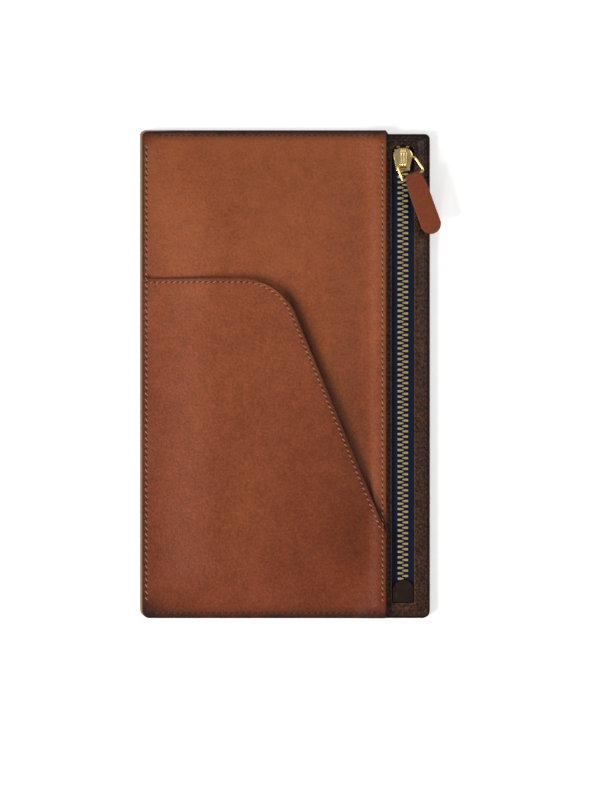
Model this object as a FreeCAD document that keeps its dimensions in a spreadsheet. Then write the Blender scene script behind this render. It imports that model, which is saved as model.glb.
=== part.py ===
import FreeCAD, Part
import math
import os
import Sketcher

# A flat zipped leather organizer for travel papers, lying on its back.
# Origin: centre of the back face. +X to the zip side, +Y to the top end, +Z out of the front face.
# Millimetres throughout.

doc = FreeCAD.newDocument("document_organizer")
sheet = doc.addObject("Spreadsheet::Sheet", "Sizes")

sizes = {
    # overall outline
    "case_width": 130.8,
    "case_height": 220,
    "corner_top": 2.4,
    "corner_zip": 3.4,
    "corner_fold": 4.3,
    "rim_left": 1.2,
    "rim_top": 0.6,
    "zip_side_drop": 1.8,
    "drop_round": 0.7,
    "edge_inset": 0.3,
    # sheet thicknesses, from the back to the front
    "back_thick": 1.2,
    "board_thick": 0.5,
    "lining_thick": 0.3,
    "tape_thick": 0.4,
    "strip_thick": 1.0,
    "panel_thick": 1.2,
    "pocket_thick": 1.1,
    # stiffening board behind the main compartment
    "board_margin": 7,
    "board_corner": 5,
    "board_bevel": 1.2,
    "board_fit": 0.1,
    # how the front bulges over the compartment and over the zip
    "seam_flat": 3.7,
    "seam_flat_end": 4,
    "bag_rise": 5.1,
    "bag_ramp_left": 15.5,
    "bag_ramp_end": 16,
    "bag_ramp_zip": 9,
    "bag_to_zip": 3.8,
    "pocket_gap": 0.6,
    "zip_rise": 1.8,
    "zip_ramp_side": 2.4,
    "zip_ramp_end": 1.6,
    "zip_flat_side": 3,
    "zip_flat_end": 2,
    "zip_flat_foot": 3.2,
    "zip_ramp_in": 3,
    "lap_ramp": 8,
    # zip side strip and the front panel that laps over it
    "strip_show": 19.6,
    "strip_lap": 7.1,
    "panel_corner": 0.8,
    # slanted slip pocket
    "mouth_level": 153,
    "slant_start": 62.3,
    "slant_end": 38,
    "mouth_round": 26,
    # zip window and tapes
    "zip_inset": 12.2,
    "window_fit": 0.6,
    "window_top_gap": 5,
    "window_end_gap": 7,
    "window_round": 3.6,
    "window_foot_round": 0.6,
    "tape_half": 11.6,
    "tape_end_gap": 1.2,
    "tape_part": 0.9,
    # metal teeth
    "tooth_pitch": 2.41,
    "tooth_reach": 2.4,
    "tooth_hook": 0.35,
    "tooth_thick": 1.15,
    "tooth_head": 0.74,
    "tooth_shoulder": 0.75,
    "tooth_high": 2.2,
    "tooth_slot_room": 0.15,
    "tooth_spread": 1.45,
    "spread_long": 6.5,
    "spread_start": 0.7,
    "stop_long": 0.8,
    "stop_gap": 0.15,
    "stop_crimp": 0.45,
    "stop_wide": 0.9,
    "foot_stop_long": 2,
    "foot_stop_under": 1.2,
    # leather cap over the zip's foot
    "cap_long": 10.2,
    "cap_thick": 1.4,
    "cap_fit": 0.1,
    "cap_hollow_long": 4.4,
    "cap_hollow_high": 1,
    "cap_hollow_fit": 0.25,
    # slider
    "slider_wide": 8.8,
    "slider_neck": 6.2,
    "slider_long": 10.5,
    "slider_high": 4.1,
    "slider_plate": 0.8,
    "slider_top_gap": 1.4,
    "slider_neck_long": 1.2,
    "slider_taper_long": 6,
    "slider_round": 2.8,
    "channel_fit": 0.2,
    "tape_slot": 0.9,
    "wedge_half": 0.8,
    "wedge_tip": 2.2,
    "wedge_long": 3.8,
    # crown that holds the ring on the slider
    "crown_wide": 3.4,
    "crown_long": 9.8,
    "crown_high": 4.6,
    "crown_bar": 0.9,
    "crown_foot": 1.4,
    "crown_side": 1.7,
    "crown_slope": 2,
    "crown_round": 2,
    "crown_slot_wide": 1.7,
    "crown_slot_deep": 0.5,
    "crown_slot_long": 0.9,
    "crown_slot_place": 3.1,
    # wire ring and the leather pull on it
    "ring_wire": 1.2,
    "ring_top": 8.8,
    "ring_bar": 10.6,
    "ring_tall": 8,
    "ring_round": 1.8,
    "ring_foot_round": 0.9,
    "ring_swing": 28,
    "ring_shift": 1,
    "ring_back": 1,
    "ring_height": 2.75,
    "pull_long": 30.7,
    "pull_wide": 9.2,
    "pull_fold_wide": 6.4,
    "pull_leather": 0.8,
    "pull_above_bar": 3.3,
    "pull_loop_room": 0.4,
    "pull_neck_long": 4.2,
    "pull_widening": 8.5,
    "pull_end_round": 4,
    "pull_swing": 20,
    "pull_eye_flat": 0.9,
    "pull_eye_tip": 2.3,
    # thread
    "thread": 0.5,
    "stitch_long": 2,
    "stitch_pitch": 2.63,
    "edge_pitch": 2.84,
    "stitch_slant": 0.22,
    "edge_row": 1.9,
    "top_row": 1.9,
    "strip_top_row": 1.6,
    "bottom_row": 2.4,
    "zip_edge_row": 2,
    "zip_row_round": 1.6,
    "panel_row": 1.8,
    "strip_row": 1,
    "window_row": 0.7,
    "mouth_row": 1.7,
    "bar_stitch_drop": 3.1,
    "bar_stitch_long": 1.4,
}
for row, (word, number) in enumerate(sizes.items(), start=1):
    sheet.set(f"A{row}", word)
    sheet.set(f"B{row}", str(number))
    sheet.setAlias(f"B{row}", word)
doc.recompute()


def size(word):
    """A plain number read from the sheet."""
    return float(sheet.get(word))


def value(formula):
    """The number that a formula on the sheet's sizes comes to."""
    return float(sheet.evalExpression(formula))


# Places in the plan, as formulas on the sheet's sizes
case_left = "(-Sizes.case_width / 2)"
case_right = "(Sizes.case_width / 2)"
case_top = "(Sizes.case_height / 2)"
case_bottom = "(-Sizes.case_height / 2)"
panel_left = f"({case_left} + Sizes.rim_left)"
panel_right = f"({case_right} - Sizes.strip_show)"
panel_top = f"({case_top} - Sizes.rim_top)"
strip_top = f"({case_top} - Sizes.zip_side_drop)"
strip_left = f"({panel_right} - Sizes.strip_lap)"
mouth_y = f"({case_bottom} + Sizes.mouth_level)"
mouth_x = f"({panel_left} + Sizes.slant_start)"
slant_y = f"({case_bottom} + Sizes.slant_end)"
zip_x = f"({case_right} - Sizes.zip_inset)"
window_half = "(Sizes.slider_wide / 2 + Sizes.window_fit)"
window_top = f"({strip_top} - Sizes.window_top_gap)"
window_bottom = f"({case_bottom} + Sizes.window_end_gap)"
cap_top = f"({window_bottom} + Sizes.cap_fit + Sizes.cap_long)"
slider_top = f"({window_top} - Sizes.slider_top_gap)"
slider_y = f"({slider_top} - Sizes.slider_long / 2)"
slider_foot = f"({slider_top} - Sizes.slider_long)"
spread_from = f"({slider_foot} + Sizes.spread_start)"
spread_to = f"({spread_from} + Sizes.spread_long)"

# Heights of the sheets where they are sewn together along the edge
lining_low = "Sizes.back_thick"
front_lining_low = f"({lining_low} + Sizes.lining_thick)"
tape_low = f"({front_lining_low} + Sizes.lining_thick)"
strip_low = f"({tape_low} + Sizes.tape_thick)"
strip_high = f"({strip_low} + Sizes.strip_thick)"
panel_high = f"({tape_low} + Sizes.panel_thick)"
lap_high = f"({strip_high} + Sizes.panel_thick)"
pocket_low = f"({panel_high} + Sizes.lining_thick)"
pocket_lap_low = f"({lap_high} + Sizes.lining_thick)"
pocket_high = f"({pocket_low} + Sizes.pocket_thick)"
pocket_lap_high = f"({pocket_lap_low} + Sizes.pocket_thick)"

# Heights at the zip
tape_z = f"({tape_low} + Sizes.zip_rise)"
chain_z = f"({tape_z} + Sizes.tape_thick / 2)"
slider_low = f"({chain_z} - Sizes.slider_high / 2)"
slider_high = f"({chain_z} + Sizes.slider_high / 2)"
ring_z = f"({slider_high} + Sizes.ring_height)"

# Feet and shoulders of the two bulges, each [left, right, bottom, top]
bag_left = f"({panel_left} + Sizes.seam_flat)"
bag_shoulder = f"({panel_right} - Sizes.bag_to_zip - Sizes.bag_ramp_zip)"
bag_zip_foot = (
    f"({bag_shoulder} + Sizes.bag_ramp_zip * Sizes.bag_rise / (Sizes.bag_rise - Sizes.zip_rise))"
)
bag_end = f"({case_top} - Sizes.seam_flat_end)"
bag_foot = [bag_left, bag_zip_foot, f"(-{bag_end})", bag_end]
bag_flat = [
    f"({bag_left} + Sizes.bag_ramp_left)",
    bag_shoulder,
    f"(-{bag_end} + Sizes.bag_ramp_end)",
    f"({bag_end} - Sizes.bag_ramp_end)",
]
zip_end_top = f"({strip_top} - Sizes.zip_flat_end)"
zip_end_bottom = f"({case_bottom} + Sizes.zip_flat_foot)"
zip_side = f"({case_right} - Sizes.zip_flat_side)"
lap_foot = f"({strip_left} - Sizes.lap_ramp)"
zip_foot = [strip_left, zip_side, zip_end_bottom, zip_end_top]
zip_flat = [
    f"({strip_left} + Sizes.zip_ramp_in)",
    f"({zip_side} - Sizes.zip_ramp_side)",
    f"({zip_end_bottom} + Sizes.zip_ramp_end)",
    f"({zip_end_top} - Sizes.zip_ramp_end)",
]


def rounded(corners):
    """The tangent points and centre of each rounded corner of a closed outline of (x, y, radius)."""
    found = []
    count = len(corners)
    for n, (x, y, radius) in enumerate(corners):
        here = FreeCAD.Vector(x, y, 0)
        back = (FreeCAD.Vector(*corners[n - 1][:2], 0) - here).normalize()
        ahead = (FreeCAD.Vector(*corners[(n + 1) % count][:2], 0) - here).normalize()
        if not radius:
            found.append((here, here, here, here, 0, True))
            continue
        half = back.getAngle(ahead) / 2
        run = radius / math.tan(half)
        middle = here + (back + ahead).normalize() * (radius / math.sin(half))
        left_turn = back.cross(ahead).z < 0
        found.append((here, here + back * run, here + ahead * run, middle, radius, left_turn))
    return found


def add_loop(sketch, corners):
    """Add a closed outline to a sketch. Each corner is (x, y) or (x, y, radius), all formulas."""
    corners = [(*corner, None)[:3] for corner in corners]
    numbers = [(value(x), value(y), value(r) if r else 0) for x, y, r in corners]
    turns = rounded(numbers)
    count = len(turns)
    lines = []
    for n in range(count):
        line = Part.LineSegment(turns[n][2], turns[(n + 1) % count][1])
        lines.append(sketch.addGeometry(line, False))
    for n, (corner, start, end, middle, radius, left_turn) in enumerate(turns):
        into = lines[n - 1]
        out = lines[n]
        if radius:
            first, last = (start, end) if left_turn else (end, start)
            spokes = [p - middle for p in (first, last)]
            angles = [math.atan2(p.y, p.x) for p in spokes]
            circle = Part.Circle(middle, FreeCAD.Vector(0, 0, 1), radius)
            arc = sketch.addGeometry(Part.ArcOfCircle(circle, *angles), False)
            ends = (1, 2) if left_turn else (2, 1)
            point = sketch.addGeometry(Part.Point(corner), True)
            sketch.addConstraint(Sketcher.Constraint("Tangent", into, 2, arc, ends[0]))
            sketch.addConstraint(Sketcher.Constraint("Tangent", out, 1, arc, ends[1]))
            sketch.addConstraint(Sketcher.Constraint("PointOnObject", point, 1, into))
            sketch.addConstraint(Sketcher.Constraint("PointOnObject", point, 1, out))
            bound = sketch.addConstraint(Sketcher.Constraint("Radius", arc, radius))
            sketch.setExpression(f"Constraints[{bound}]", corners[n][2])
            held = point
        else:
            sketch.addConstraint(Sketcher.Constraint("Coincident", into, 2, out, 1))
            held = out
        for kind, formula, number in (
            ("DistanceX", corners[n][0], corner.x),
            ("DistanceY", corners[n][1], corner.y),
        ):
            bound = sketch.addConstraint(Sketcher.Constraint(kind, -1, 1, held, 1, number))
            sketch.setExpression(f"Constraints[{bound}]", formula)


def plan_sketch(name, *loops):
    """A free sketch in the plan, for the outline of a sheet."""
    sketch = doc.addObject("Sketcher::SketchObject", name)
    for corners in loops:
        add_loop(sketch, corners)
    return sketch


def body_sketch(body, name, role, offset, *loops):
    """A sketch on one of a body's own planes, moved off it by a formula."""
    plane = next(f for f in body.Origin.OriginFeatures if f.Role == role)
    sketch = body.newObject("Sketcher::SketchObject", name)
    sketch.AttachmentSupport = [(plane, "")]
    sketch.MapMode = "FlatFace"
    sketch.setExpression("AttachmentOffset.Base.z", offset)
    for corners in loops:
        add_loop(sketch, corners)
    return sketch


def add_pad(body, name, sketch, length, midplane=False):
    """Thicken a sketch into a body."""
    pad = body.newObject("PartDesign::Pad", name)
    pad.Profile = sketch
    pad.setExpression("Length", length)
    pad.Midplane = midplane
    doc.recompute()
    return pad


def add_pocket(body, name, sketch, depth, midplane=False):
    """Cut a sketch down into a body, and make sure that it took something away."""
    before = body.Shape.Volume
    pocket = body.newObject("PartDesign::Pocket", name)
    pocket.Profile = sketch
    pocket.setExpression("Length", depth)
    pocket.Midplane = midplane
    doc.recompute()
    if not body.Shape.Volume < before:
        raise ValueError(f"{name} cuts nothing")
    return pocket


def place(piece, x, y, z, turn=None):
    """Bind a piece's Placement to formulas."""
    for axis, formula in zip("xyz", (x, y, z)):
        piece.setExpression(f".Placement.Base.{axis}", formula)
    if turn:
        piece.Placement.Rotation = FreeCAD.Rotation(FreeCAD.Vector(0, 0, 1), 1)
        piece.setExpression(".Placement.Rotation.Angle", turn)


def column(name, *loops):
    """An upright prism over an outline, tall enough to trim any sheet."""
    sketch = plan_sketch(f"{name}_outline", *loops)
    prism = doc.addObject("Part::Extrusion", name)
    prism.Base = sketch
    prism.Dir = FreeCAD.Vector(0, 0, 1)
    prism.DirMode = "Custom"
    prism.Solid = True
    prism.setExpression("LengthFwd", "2 * Sizes.strip_show")
    return prism


def frustum(name, foot, flat, low, high):
    """A block with sloping sides: foot and flat are its rectangles at the two heights."""
    block = doc.addObject("Part::Wedge", name)
    bounds = {
        "Xmin": foot[0],
        "Xmax": foot[1],
        "Zmin": f"-{foot[3]}",
        "Zmax": f"-{foot[2]}",
        "X2min": flat[0],
        "X2max": flat[1],
        "Z2min": f"-{flat[3]}",
        "Z2max": f"-{flat[2]}",
        "Ymin": "0",
        "Ymax": f"{high} - {low}",
    }
    for edge, formula in bounds.items():
        block.setExpression(edge, formula)
    block.Placement.Rotation = FreeCAD.Rotation(FreeCAD.Vector(1, 0, 0), 90)
    block.setExpression(".Placement.Base.z", low)
    return block


def base_slab(name, high):
    """A slab wider than the case, from below it up to a height."""
    slab = doc.addObject("Part::Box", name)
    slab.setExpression("Length", "2 * Sizes.case_width")
    slab.setExpression("Width", "2 * Sizes.case_height")
    slab.setExpression("Height", f"{high} + Sizes.back_thick")
    place(slab, "-Sizes.case_width", "-Sizes.case_height", "-Sizes.back_thick")
    return slab


def join(name, *solids):
    """Fuse solids into one."""
    fused = doc.addObject("Part::MultiFuse", name)
    fused.Shapes = list(solids)
    return fused


def bulge(name, seam, zip_seam, bag_rise):
    """Everything below one surface of the front: a flat seam, the bag's bulge and the zip's."""
    parts = [base_slab(f"{name}_slab", seam)]
    parts.append(frustum(f"{name}_bag", bag_foot, bag_flat, seam, f"({seam} + {bag_rise})"))
    if zip_seam != seam:
        beyond = ["Sizes.case_width", "(-Sizes.case_height)", "Sizes.case_height"]
        step_foot = [lap_foot, *beyond]
        step_flat = [strip_left, *beyond]
        parts.append(frustum(f"{name}_step", step_foot, step_flat, seam, zip_seam))
    high = f"({zip_seam} + Sizes.zip_rise)"
    parts.append(frustum(f"{name}_zip", zip_foot, zip_flat, zip_seam, high))
    return join(name, *parts)


def cut(name, base, tool):
    """Take one solid from another."""
    result = doc.addObject("Part::Cut", name)
    result.Base = base
    result.Tool = tool
    return result


def leather(label, over, under, outline, *openings):
    """A sheet between two surfaces, trimmed to an outline, with openings cut through it."""
    shell = cut(f"{label}_shell", over, under)
    piece = doc.addObject("Part::Common", label if not openings else f"{label}_blank")
    piece.Base = shell
    piece.Tool = outline
    for number, opening in enumerate(openings, start=1):
        last = number == len(openings)
        piece = cut(label if last else f"{label}_opening", piece, opening)
    return piece


def case_corners(inset):
    """The outline of the sewn layers, with the small drop to the zip side's top edge."""
    if inset:
        left = f"{panel_left} + Sizes.edge_inset"
        top = f"{panel_top} - Sizes.edge_inset"
        trim = " - Sizes.edge_inset"
    else:
        left = case_left
        top = case_top
        trim = ""
    rise = trim.replace("-", "+")
    return [
        (left, f"{case_bottom}{rise}", "Sizes.corner_fold"),
        (f"{case_right}{trim}", f"{case_bottom}{rise}", "Sizes.corner_zip"),
        (f"{case_right}{trim}", f"{strip_top}{trim}", "Sizes.corner_top"),
        (f"{panel_right} + Sizes.drop_round{trim}", f"{strip_top}{trim}"),
        (f"{panel_right}{trim}", top, "Sizes.drop_round"),
        (left, top, "Sizes.corner_top"),
    ]


def make_back_panel():
    """Back panel: one piece of leather, the full size of the case."""
    body = doc.addObject("PartDesign::Body", "back_panel")
    sketch = body_sketch(body, "back_outline", "XY_Plane", "0", case_corners(False))
    add_pad(body, "back_pad", sketch, "Sizes.back_thick")
    return body


board_edges = [
    f"({panel_left} + Sizes.board_margin)",
    f"({zip_x} - {window_half} - Sizes.board_bevel - Sizes.board_fit)",
    f"({case_bottom} + Sizes.board_margin)",
    f"({strip_top} - Sizes.board_margin)",
]


def grown(edges, margin):
    """A rectangle [left, right, bottom, top] grown by a margin."""
    signs = ("-", "+", "-", "+")
    return [f"({edge} {sign} {margin})" for edge, sign in zip(edges, signs)]


def make_back_board():
    """Stiffening board glued to the inside of the back panel, clear of the zip."""
    left, right, low, high = board_edges
    body = doc.addObject("PartDesign::Body", "back_board")
    radius = "Sizes.board_corner"
    corners = [(left, low, radius), (right, low, radius), (right, high, radius), (left, high, radius)]
    sketch = body_sketch(body, "board_outline", "XY_Plane", "Sizes.back_thick", corners)
    add_pad(body, "board_pad", sketch, "Sizes.board_thick")
    return body


def make_back_lining(lining_outline):
    """Thin lining over the board and down onto the back panel round it."""
    surfaces = []
    for name, low in (("board_cover", lining_low), ("lining_cover", front_lining_low)):
        high = f"({low} + Sizes.board_thick)"
        flat = grown(board_edges, "Sizes.board_fit")
        foot = grown(flat, "Sizes.board_bevel")
        hump = frustum(f"{name}_hump", foot, flat, low, high)
        surfaces.append(join(name, base_slab(f"{name}_slab", low), hump))
    return leather("back_lining", surfaces[1], surfaces[0], lining_outline)


def window_corners():
    """The slot that shows the zip."""
    left = f"{zip_x} - {window_half}"
    right = f"{zip_x} + {window_half}"
    return [
        (left, window_bottom, "Sizes.window_foot_round"),
        (right, window_bottom, "Sizes.window_foot_round"),
        (right, window_top, "Sizes.window_round"),
        (left, window_top, "Sizes.window_round"),
    ]


def panel_corners():
    """The front panel: rounded at the closed side, square where it laps over the strip."""
    return [
        (panel_left, case_bottom, "Sizes.corner_fold"),
        (panel_right, case_bottom, "Sizes.panel_corner"),
        (panel_right, panel_top, "Sizes.panel_corner"),
        (panel_left, panel_top, "Sizes.corner_top"),
    ]


def strip_corners():
    """The strip along the zip side, with its hidden edge under the front panel."""
    return [
        (strip_left, case_bottom),
        (case_right, case_bottom, "Sizes.corner_zip"),
        (case_right, strip_top, "Sizes.corner_top"),
        (strip_left, strip_top),
    ]


def pocket_corners():
    """The slip pocket: a level mouth that turns down in a slant to the zip side."""
    return [
        (panel_left, case_bottom, "Sizes.corner_fold"),
        (panel_right, case_bottom, "Sizes.panel_corner"),
        (panel_right, slant_y, "Sizes.panel_corner"),
        (mouth_x, mouth_y, "Sizes.mouth_round"),
        (panel_left, mouth_y),
    ]


def tape_corners(side):
    """One zip tape: straight along the closed chain, spread apart inside the slider."""
    sign = "+" if side > 0 else "-"
    inner = f"{zip_x} {sign} Sizes.tape_part / 2"
    spread = f"{inner} {sign} Sizes.tooth_spread"
    outer = f"{zip_x} {sign} Sizes.tape_half"
    low = f"{case_bottom} + Sizes.tape_end_gap"
    high = f"{strip_top} - Sizes.tape_end_gap"
    corners = [
        (outer, low),
        (inner, low),
        (inner, spread_from),
        (spread, spread_to),
        (spread, high),
        (outer, high),
    ]
    return corners if side < 0 else corners[::-1]


def make_front_sheets():
    """Linings, tapes, strip, front panel and slip pocket, each lying on the one below it."""
    window = column("window", window_corners())
    lining_outline = column("lining_column", case_corners(True))
    strip_outline = column("strip_column", strip_corners())
    panel_outline = column("panel_column", panel_corners())
    pocket_outline = column("pocket_column", pocket_corners())
    bag = "Sizes.bag_rise"
    full = "(Sizes.bag_rise + Sizes.pocket_gap)"
    lining_under = bulge("lining_under", front_lining_low, front_lining_low, bag)
    lining_over = bulge("lining_over", tape_low, tape_low, bag)
    tape_over = bulge("tape_over", strip_low, strip_low, bag)
    strip_over = bulge("strip_over", tape_low, strip_high, bag)
    panel_over = bulge("panel_over", panel_high, lap_high, bag)
    pocket_under = bulge("pocket_under", panel_high, lap_high, full)
    pocket_middle = bulge("pocket_middle", pocket_low, pocket_lap_low, full)
    pocket_over = bulge("pocket_over", pocket_high, pocket_lap_high, full)
    pieces = [make_back_lining(lining_outline)]
    pieces.append(leather("front_lining", lining_over, lining_under, lining_outline, window))
    for side, name in ((-1, "zip_tape_left"), (1, "zip_tape_right")):
        outline = column(f"{name}_column", tape_corners(side))
        pieces.append(leather(name, tape_over, lining_over, outline))
    pieces.append(leather("zip_strip", strip_over, tape_over, strip_outline, window))
    pieces.append(leather("front_panel", panel_over, strip_over, panel_outline))
    pieces.append(leather("pocket_lining", pocket_middle, pocket_under, pocket_outline))
    pieces.append(leather("slip_pocket", pocket_over, pocket_middle, pocket_outline))
    return pieces


def spread_at(y):
    """How far a tape stands off the closed chain's line at a height up the zip."""
    share = (y - value(spread_from)) / size("spread_long")
    return size("tooth_spread") * min(max(share, 0), 1)


def tape_gap(outer, inner, length, side, y):
    """The gap in a tooth or stop that grips the tape, from the tape's own edge outwards."""
    thick = size("tape_thick")
    wide = outer - inner
    gap = Part.makeBox(wide, length, thick, FreeCAD.Vector(inner, y - length / 2, -thick / 2))
    return gap if side > 0 else gap.mirror(FreeCAD.Vector(), FreeCAD.Vector(1, 0, 0))


def one_tooth(side):
    """A metal tooth: two jaws that grip the tape, and a narrow head that hooks the other side."""
    reach = size("tooth_reach")
    hook = size("tooth_hook")
    high = size("tooth_high")
    wide = size("tooth_thick") / 2
    head = size("tooth_head") / 2
    shoulder = size("tooth_shoulder")
    plan = [(reach, -wide), (reach, wide), (shoulder, wide), (-hook, head), (-hook, -head), (shoulder, -wide)]
    points = [FreeCAD.Vector(x * side, y, -high / 2) for x, y in plan]
    face = Part.Face(Part.makePolygon([*points, points[0]]))
    tooth = face.extrude(FreeCAD.Vector(0, 0, high))
    inner = size("tape_part") / 2 - size("tooth_slot_room")
    slot = tape_gap(2 * reach, inner, 2 * size("tooth_pitch"), side, 0)
    return tooth.cut(slot)


def group(label, solids):
    """Many like solids in one piece."""
    piece = doc.addObject("Part::Feature", label)
    piece.Shape = Part.makeCompound(solids)
    return piece


def make_teeth():
    """Both rows of teeth, half a pitch apart, from the slider's top down to the foot stop."""
    pitch = size("tooth_pitch")
    top = value(slider_top) - size("tooth_thick")
    foot = value(cap_top) - size("foot_stop_under") + size("tooth_thick")
    rows = []
    for side, name in ((-1, "zip_teeth_left"), (1, "zip_teeth_right")):
        tooth = one_tooth(side)
        start = top - (pitch / 2 if side > 0 else 0)
        count = int((start - foot) / pitch) + 1
        solids = []
        for number in range(count):
            y = start - number * pitch
            shift = FreeCAD.Vector(value(zip_x) + side * spread_at(y), y, value(chain_z))
            solids.append(tooth.translated(shift))
        rows.append(group(name, solids))
    return rows


def make_top_stops():
    """A small crimped stop on each tape, just above the closed slider."""
    stops = []
    long = size("stop_long")
    high = size("tape_thick") + 2 * size("stop_crimp")
    inner = size("tape_part") / 2
    y = value(slider_top) + size("stop_gap") + long / 2
    for side, name in ((-1, "top_stop_left"), (1, "top_stop_right")):
        web = size("stop_crimp")
        wide = size("stop_wide") + web
        block = Part.makeBox(wide, long, high, FreeCAD.Vector(inner - web, -long / 2, -high / 2))
        if side < 0:
            block = block.mirror(FreeCAD.Vector(), FreeCAD.Vector(1, 0, 0))
        stop = block.cut(tape_gap(2 * wide, inner, 2 * long, side, 0))
        piece = doc.addObject("Part::Feature", name)
        piece.Shape = stop
        across = value(zip_x) + side * size("tooth_spread")
        piece.Placement = FreeCAD.Placement(FreeCAD.Vector(across, y, value(chain_z)), FreeCAD.Rotation())
        stops.append(piece)
    return stops


def make_foot_stop():
    """One stop across both tapes under the cap, where the chain ends."""
    long = size("foot_stop_long")
    high = size("tooth_high")
    reach = size("tooth_reach")
    stop = Part.makeBox(2 * reach, long, high, FreeCAD.Vector(-reach, -long / 2, -high / 2))
    for side in (-1, 1):
        stop = stop.cut(tape_gap(2 * reach, size("tape_part") / 2, 2 * long, side, 0))
    piece = doc.addObject("Part::Feature", "foot_stop")
    piece.Shape = stop
    y = value(cap_top) - size("foot_stop_under") - long / 2
    piece.Placement = FreeCAD.Placement(
        FreeCAD.Vector(value(zip_x), y, value(chain_z)), FreeCAD.Rotation()
    )
    return piece


def make_foot_cap():
    """Round-topped leather cap in the foot of the window, hollowed for the end of the chain."""
    body = doc.addObject("PartDesign::Body", "foot_cap")
    half = f"({window_half} - Sizes.cap_fit)"
    plan = [
        (f"-{half}", "0", "Sizes.window_foot_round"),
        (half, "0", "Sizes.window_foot_round"),
        (half, "Sizes.cap_long", f"0.99 * {half}"),
        (f"-{half}", "Sizes.cap_long", f"0.99 * {half}"),
    ]
    add_pad(body, "cap_pad", body_sketch(body, "cap_outline", "XY_Plane", "0", plan), "Sizes.cap_thick")
    half_chain = "(Sizes.tooth_reach + Sizes.cap_hollow_fit)"
    low = "Sizes.cap_long - Sizes.cap_hollow_long"
    high = "Sizes.cap_long + Sizes.cap_hollow_long"
    hollow = [(f"-{half_chain}", low), (half_chain, low), (half_chain, high), (f"-{half_chain}", high)]
    sketch = body_sketch(body, "cap_hollow", "XY_Plane", "Sizes.cap_hollow_high", hollow)
    add_pocket(body, "cap_hollowed", sketch, "2 * Sizes.cap_hollow_high")
    place(body, zip_x, f"{window_bottom} + Sizes.cap_fit", f"{tape_z} + Sizes.tape_thick")
    return body


def around_all(reach):
    """A square loop well outside a piece, for trimming it back to the outline drawn inside."""
    far = f"(3 * {reach})"
    return [(f"-{far}", f"-{far}"), (far, f"-{far}"), (far, far), (f"-{far}", far)]


def make_slider_body():
    """Die-cast slider: two plates joined by a wedge, with side walls that guide the teeth."""
    body = doc.addObject("PartDesign::Body", "slider_body")
    end = "(Sizes.slider_long / 2)"
    neck = "(Sizes.slider_neck / 2)"
    wide = "(Sizes.slider_wide / 2)"
    neck_end = f"(-{end} + Sizes.slider_neck_long)"
    full_at = f"({neck_end} + Sizes.slider_taper_long)"
    half_plan = [(neck, f"-{end}", "0.5"), (neck, neck_end, "2"), (wide, full_at, "2")]
    half_plan.append((wide, end, "Sizes.slider_round"))
    plan = half_plan + [(f"-{x}", y, r) for x, y, r in half_plan[::-1]]
    sketch = body_sketch(body, "slider_outline", "XY_Plane", "0", plan)
    add_pad(body, "slider_block", sketch, "Sizes.slider_high")
    chain = "(Sizes.tooth_reach + Sizes.channel_fit)"
    spread = f"({chain} + Sizes.tooth_spread)"
    turn = f"(-{end} + Sizes.spread_start)"
    turned = f"({turn} + Sizes.spread_long)"
    half_channel = [(chain, "-Sizes.slider_long"), (chain, turn), (spread, turned)]
    half_channel.append((spread, "Sizes.slider_long"))
    channel = half_channel + [(f"-{x}", y) for x, y in half_channel[::-1]]
    tip = "-Sizes.wedge_tip"
    wedge = [
        ("0", tip),
        ("Sizes.wedge_half", f"{tip} + Sizes.wedge_long"),
        ("Sizes.wedge_half", f"{end} - Sizes.channel_fit"),
        ("-Sizes.wedge_half", f"{end} - Sizes.channel_fit"),
        ("-Sizes.wedge_half", f"{tip} + Sizes.wedge_long"),
    ]
    roof = "Sizes.slider_high - Sizes.slider_plate"
    sketch = body_sketch(body, "channel_outline", "XY_Plane", roof, channel, wedge)
    add_pocket(body, "channel", sketch, "Sizes.slider_high - 2 * Sizes.slider_plate")
    slot_top = "(Sizes.slider_high + Sizes.tape_slot) / 2"
    sketch = body_sketch(body, "slot_outline", "XY_Plane", slot_top, around_all(end), wedge)
    slots = add_pocket(body, "tape_slots", sketch, "Sizes.tape_slot")
    top = value("Sizes.slider_high") - 0.01
    rim = [f"Edge{n}" for n, e in enumerate(slots.Shape.Edges, start=1) if e.BoundBox.ZMin > top]
    softened = body.newObject("PartDesign::Fillet", "slider_softened")
    softened.Base = (slots, rim)
    softened.setExpression("Radius", "Sizes.slider_plate * 0.4")
    doc.recompute()
    place(body, zip_x, slider_y, slider_low)
    return body


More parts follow.
